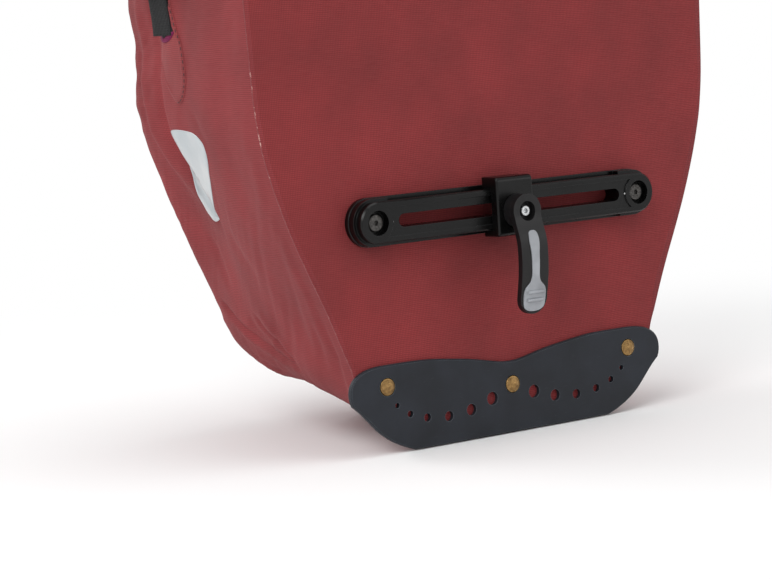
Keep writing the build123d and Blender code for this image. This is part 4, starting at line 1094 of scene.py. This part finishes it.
# (distance inwards from HANDLE_X, z): up, and over into the grip
HANDLE_LINE = [(0, 330), (0, 346), (0.6, 352), (3.6, 358.6), (9.0, 363.6), (16, 365.7),
               (26, HANDLE_Z), (40, HANDLE_Z), (54.5, HANDLE_Z)]
GRIP_HALF, GRIP_EDGE = 49.9, 2.2        # half length, rounding at the ends
GRIP_HALF_Y, GRIP_HALF_Z = 5.7, 9.6
RIB_HEIGHT, RIB_PITCH, RIB_REACH = 0.28, 6.0, 40


def handle_strap(side, sign):
    """Webbing that widens from the upright end towards the grip."""
    foot_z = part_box(f"{side}_handle_strap")[0].z / MM + 0.1
    path = resample([(sign * HANDLE_X - sign * inwards, HANDLE_Y, z)
                     for inwards, z in [(0, foot_z)] + HANDLE_LINE], step=1.5)
    rings = []
    for i, point in enumerate(path):
        across = np.cross(tangent(path, i), (0, 1, 0))
        across /= np.linalg.norm(across)
        width = 8.6 + 2.0 * float(smooth(point[2], 340, 364))
        section = webbing_section(width, thick=1.9)
        rings.append(point + np.outer(section[:, 0], across)
                     + np.outer(section[:, 1], (0, 1, 0)))
    return tube(f"{side}_handle_web", rings)


def grip_sleeve():
    """Soft moulded rubber with rounded ends, finger ribs and a flat hole for the webbing."""
    angle = np.linspace(0, 2 * math.pi, 48, endpoint=False)

    def ring(x, section):
        return np.c_[np.full(len(angle), x), HANDLE_Y + section[:, 0], HANDLE_Z + section[:, 1]]
    rings = []
    for x in np.linspace(-GRIP_HALF, GRIP_HALF, 161):
        inside = min(1, (1 - abs(x) / GRIP_HALF) * GRIP_HALF / GRIP_EDGE)
        scale = 0.86 + 0.14 * math.sqrt(max(0.0, 1 - (1 - inside) ** 2))
        rib = 0.0
        if abs(x) < RIB_REACH:
            rib = RIB_HEIGHT * max(0.0, math.cos(x * 2 * math.pi / RIB_PITCH)) ** 3
        rings.append(ring(x, superellipse(angle, GRIP_HALF_Y * scale + rib,
                                          GRIP_HALF_Z * scale + rib, 0.62, 0.62)))
    hole = superellipse(angle, 1.5, 5.85, 0.3, 0.3)
    rings += [ring(x, hole) for x in (GRIP_HALF, 30, 0, -30, -GRIP_HALF)]
    return tube("grip_sleeve", rings, closed_path=True)


for sign, side in SIDES:
    register(handle_strap(side, sign), HANDLE_WEB, "webbing", f"{side}_handle_strap",
             ride=f"{side}_handle_webbing")
register(grip_sleeve(), RUBBER, "grip_rubber", "handle_grip", ride="handle")

# ------------------------------------------------------------------ rivets and pips
RIVETS = [(-83.4, 35.9), (83.4, 35.9), (0.0, 26.3)]     # (x, z)
RIVET_Y = BACK_Y - 2.5 + 0.15
RIVET_TOP = 2.05
RIVET_FLATTEN = 0.8         # applied to all the dome's heights
# (radius, height) from just off the top down to the foot
RIVET_PROFILE = [(0.5, 2.04), (0.95, 1.96), (1.15, 1.86), (1.4, 1.9), (2.2, 1.72),
                 (3.0, 1.38), (3.7, 0.92), (4.05, 0.62), (4.3, 0.58), (4.52, 0.42),
                 (4.6, 0.18), (4.6, -1.0)]
PIP_X, PIP_RADIUS = 79.6, 0.62


def rivet_domes():
    """Spun brass rivet heads: low domes with a rolled rim."""
    size, last = 40, len(RIVET_PROFILE) - 1
    points, faces = [], []
    for rivet_x, rivet_z in RIVETS:
        top = len(points)
        first = top + 1
        foot = first + (last + 1) * size
        points.append((rivet_x, RIVET_Y - RIVET_TOP * RIVET_FLATTEN, rivet_z))
        for radius, height in RIVET_PROFILE:
            for k in range(size):
                angle = 2 * math.pi * k / size
                points.append((rivet_x + radius * math.cos(angle),
                               RIVET_Y - height * RIVET_FLATTEN,
                               rivet_z + radius * math.sin(angle)))
        points.append((rivet_x, RIVET_Y + 0.8, rivet_z))
        for k in range(size):
            k2 = (k + 1) % size
            faces.append((top, first + k, first + k2))
            for r in range(last):
                a, b = first + r * size, first + (r + 1) * size
                faces.append((a + k, b + k, b + k2, a + k2))
            faces.append((first + last * size + k, foot, first + last * size + k2))
    return mesh_object("rivet_domes", points, faces)


def rail_pips():
    """Small pips between the screw recesses and the slot of the lower rail."""
    size = 16
    rail_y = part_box("lower_rail")[0].y / MM + 0.8
    points, faces = [], []
    for sign, _ in SIDES:
        centre = np.array([sign * PIP_X, rail_y, LOWER_RAIL_Z])
        base = len(points)
        for rise in np.linspace(0, math.pi / 2, 5)[:-1]:
            for turn in np.linspace(0, 2 * math.pi, size + 1)[:-1]:
                points.append(centre + PIP_RADIUS * np.array([
                    math.cos(rise) * math.cos(turn), -math.sin(rise) * 0.8,
                    math.cos(rise) * math.sin(turn)]))
        points += [centre + np.array([0, -0.5, 0]), centre + np.array([0, 0.3, 0])]
        faces += [tuple(base + i for i in face) for face in skin_faces(4, size)]
        top_ring, top = base + 3 * size, base + 4 * size
        for k in range(size):
            k2 = (k + 1) % size
            faces.append((top_ring + k, top_ring + k2, top))
            faces.append((base + k2, base + k, top + 1))
    return mesh_object("rail_pips", points, faces)


register(rivet_domes(), BRASS, "aged_brass")
register(rail_pips(), PIP_METAL, "steel")

# ------------------------------------------------------------------ CAD pieces kept as they are
BUCKLE_PARTS = ("buckle_socket", "buckle_plug", "prong_rear", "prong_front")
KEPT = [
    (PROTECTOR, ["edge_protector"]),
    (BRASS, ["protector_rivets", "rivet_washers"]),
    (BLACK_NYLON, ["lower_rail", "upper_rail", "hook_shoe", "left_hook", "right_hook",
                   "left_latch", "right_latch"]),
    (FIN_NYLON, ["anti_sway_fin"]),
    (GREY_INLAY, ["fin_inlay"]),
    (BRIGHT_STEEL, ["fin_screw"]),
    (DARK_SCREW, ["lower_rail_screws", "upper_rail_screws"]),
    (STEEL, ["rail_nuts", "fin_nut", "left_latch_pin", "right_latch_pin",
             "left_latch_spring", "right_latch_spring"]),
    (INSERT, ["left_hook_insert", "right_hook_insert"]),
    (BOARD, ["stiffener_board", "closure_strip"]),
    (LINING, ["inner_pocket"]),
    (BUCKLE, [f"{side}_{part}" for _, side in SIDES for part in BUCKLE_PARTS]),
]
for material, names in KEPT:
    for name in names:
        set_material(NODES[name], material)


# ------------------------------------------------------------------ floor (metres from here on)
FLOOR_Z = -0.0006
FLOOR_RADII = [0.3, 0.6, 1.0, 1.6, 2.4, 3.2]
FLOOR_SIDES = 64
FLOOR_FADE = (0.34, 0.80)       # distances over which the floor melts into white


def pale_floor():
    """Matt pale floor that melts into the white surroundings away from the bag."""
    material = bpy.data.materials.new("pale_floor")
    material.use_nodes = True
    tree = material.node_tree
    principled = tree.nodes["Principled BSDF"]
    mottle = add_node(tree, "ShaderNodeTexNoise", {"Scale": 9.0})
    rough = add_node(tree, "ShaderNodeMapRange", {0: mottle.outputs[0], 3: 0.72, 4: 0.80})
    put(tree, principled.inputs["Roughness"], rough.outputs[0])
    principled.inputs["Base Color"].default_value = (0.90, 0.90, 0.90, 1)
    principled.inputs["Specular IOR Level"].default_value = 0.1
    geometry = add_node(tree, "ShaderNodeNewGeometry")
    distance = add_node(tree, "ShaderNodeVectorMath", {0: geometry.outputs["Position"]},
                        operation="LENGTH")
    fade = add_node(tree, "ShaderNodeMapRange",
                    {0: distance.outputs["Value"], 1: FLOOR_FADE[0], 2: FLOOR_FADE[1]},
                    interpolation_type="SMOOTHSTEP")
    white = add_node(tree, "ShaderNodeEmission", {0: (1, 1, 1, 1), 1: 1.0})
    blend = add_node(tree, "ShaderNodeMixShader", {0: fade.outputs[0],
                                                   1: principled.outputs[0],
                                                   2: white.outputs[0]})
    put(tree, tree.nodes["Material Output"].inputs[0], blend.outputs[0])
    return material


def floor_disc():
    angles = np.linspace(0, 2 * math.pi, FLOOR_SIDES + 1)[:-1]
    points = [(0, 0, FLOOR_Z)] + [(radius * math.cos(a), radius * math.sin(a), FLOOR_Z)
                                  for radius in FLOOR_RADII for a in angles]
    faces = [(0, 1 + j, 1 + (j + 1) % FLOOR_SIDES) for j in range(FLOOR_SIDES)]
    for i in range(len(FLOOR_RADII) - 1):
        a, b = 1 + i * FLOOR_SIDES, 1 + (i + 1) * FLOOR_SIDES
        for j in range(FLOOR_SIDES):
            j2 = (j + 1) % FLOOR_SIDES
            faces.append((a + j, b + j, b + j2, a + j2))
    return mesh_object("floor_disc", points, faces, scale=1.0)


floor = floor_disc()
floor.data.materials.append(pale_floor())

# ------------------------------------------------------------------ world, lights, camera
WORLD_LIGHT, WORLD_SEEN = 0.66, 1.0     # strength as a light, and as the camera sees it
# name, place, height aimed at on the z axis, size, power
LIGHTS = [
    ("key", (-1.9, -1.3, 1.6), 0.18, (1.3, 1.3), 30),
    ("fill", (1.7, -2.1, 0.9), 0.15, (1.6, 1.2), 8),
    ("rim", (-1.2, 2.2, 1.6), 0.2, (1.4, 1.0), 22),
    ("top", (0.2, -0.4, 2.4), 0.2, (1.6, 1.6), 14),
]
CAMERA_PLACE = (-0.85218, -1.18807, 0.2264)
CAMERA_AZIMUTH, CAMERA_RISE, CAMERA_ROLL = [math.radians(a) for a in (-35.02, 5.90, -3.78)]


def make_world():
    world = bpy.data.worlds.new("studio")
    scene.world = world
    world.use_nodes = True
    tree = world.node_tree
    background = tree.nodes["Background"]
    background.inputs[0].default_value = (1.0, 1.0, 1.0, 1)
    ray = add_node(tree, "ShaderNodeLightPath")
    strength = add_node(tree, "ShaderNodeMapRange", {0: ray.outputs["Is Camera Ray"],
                                                     3: WORLD_LIGHT, 4: WORLD_SEEN})
    put(tree, background.inputs[1], strength.outputs[0])


def area_light(name, place, aim_z, size, power):
    light = bpy.data.lights.new(name, "AREA")
    light.shape = "RECTANGLE"
    light.size, light.size_y = size
    light.energy = power
    ob = link(bpy.data.objects.new(name, light))
    ob.location = place
    aim = Vector((0, 0, aim_z)) - Vector(place)
    ob.rotation_euler = aim.to_track_quat("-Z", "Y").to_euler()


def make_camera():
    camera = bpy.data.cameras.new("camera")
    camera.lens, camera.sensor_width, camera.sensor_fit = 119.9, 36.0, "HORIZONTAL"
    camera.clip_start, camera.clip_end = 0.05, 60
    ob = link(bpy.data.objects.new("camera", camera))
    backward = Vector((math.sin(CAMERA_AZIMUTH) * math.cos(CAMERA_RISE),
                       -math.cos(CAMERA_AZIMUTH) * math.cos(CAMERA_RISE),
                       math.sin(CAMERA_RISE)))
    right = (-backward).cross(Vector((0, 0, 1))).normalized()
    up = right.cross(-backward).normalized()
    c, s = math.cos(CAMERA_ROLL), math.sin(CAMERA_ROLL)
    matrix = Matrix((right * c + up * s, up * c - right * s, backward)).transposed().to_4x4()
    matrix.translation = Vector(CAMERA_PLACE)
    ob.matrix_world = matrix
    scene.camera = ob


make_world()
for light in LIGHTS:
    area_light(*light)
make_camera()
scene.view_settings.view_transform = "Standard"
scene.view_settings.look = "None"
scene.view_settings.exposure = 0.0
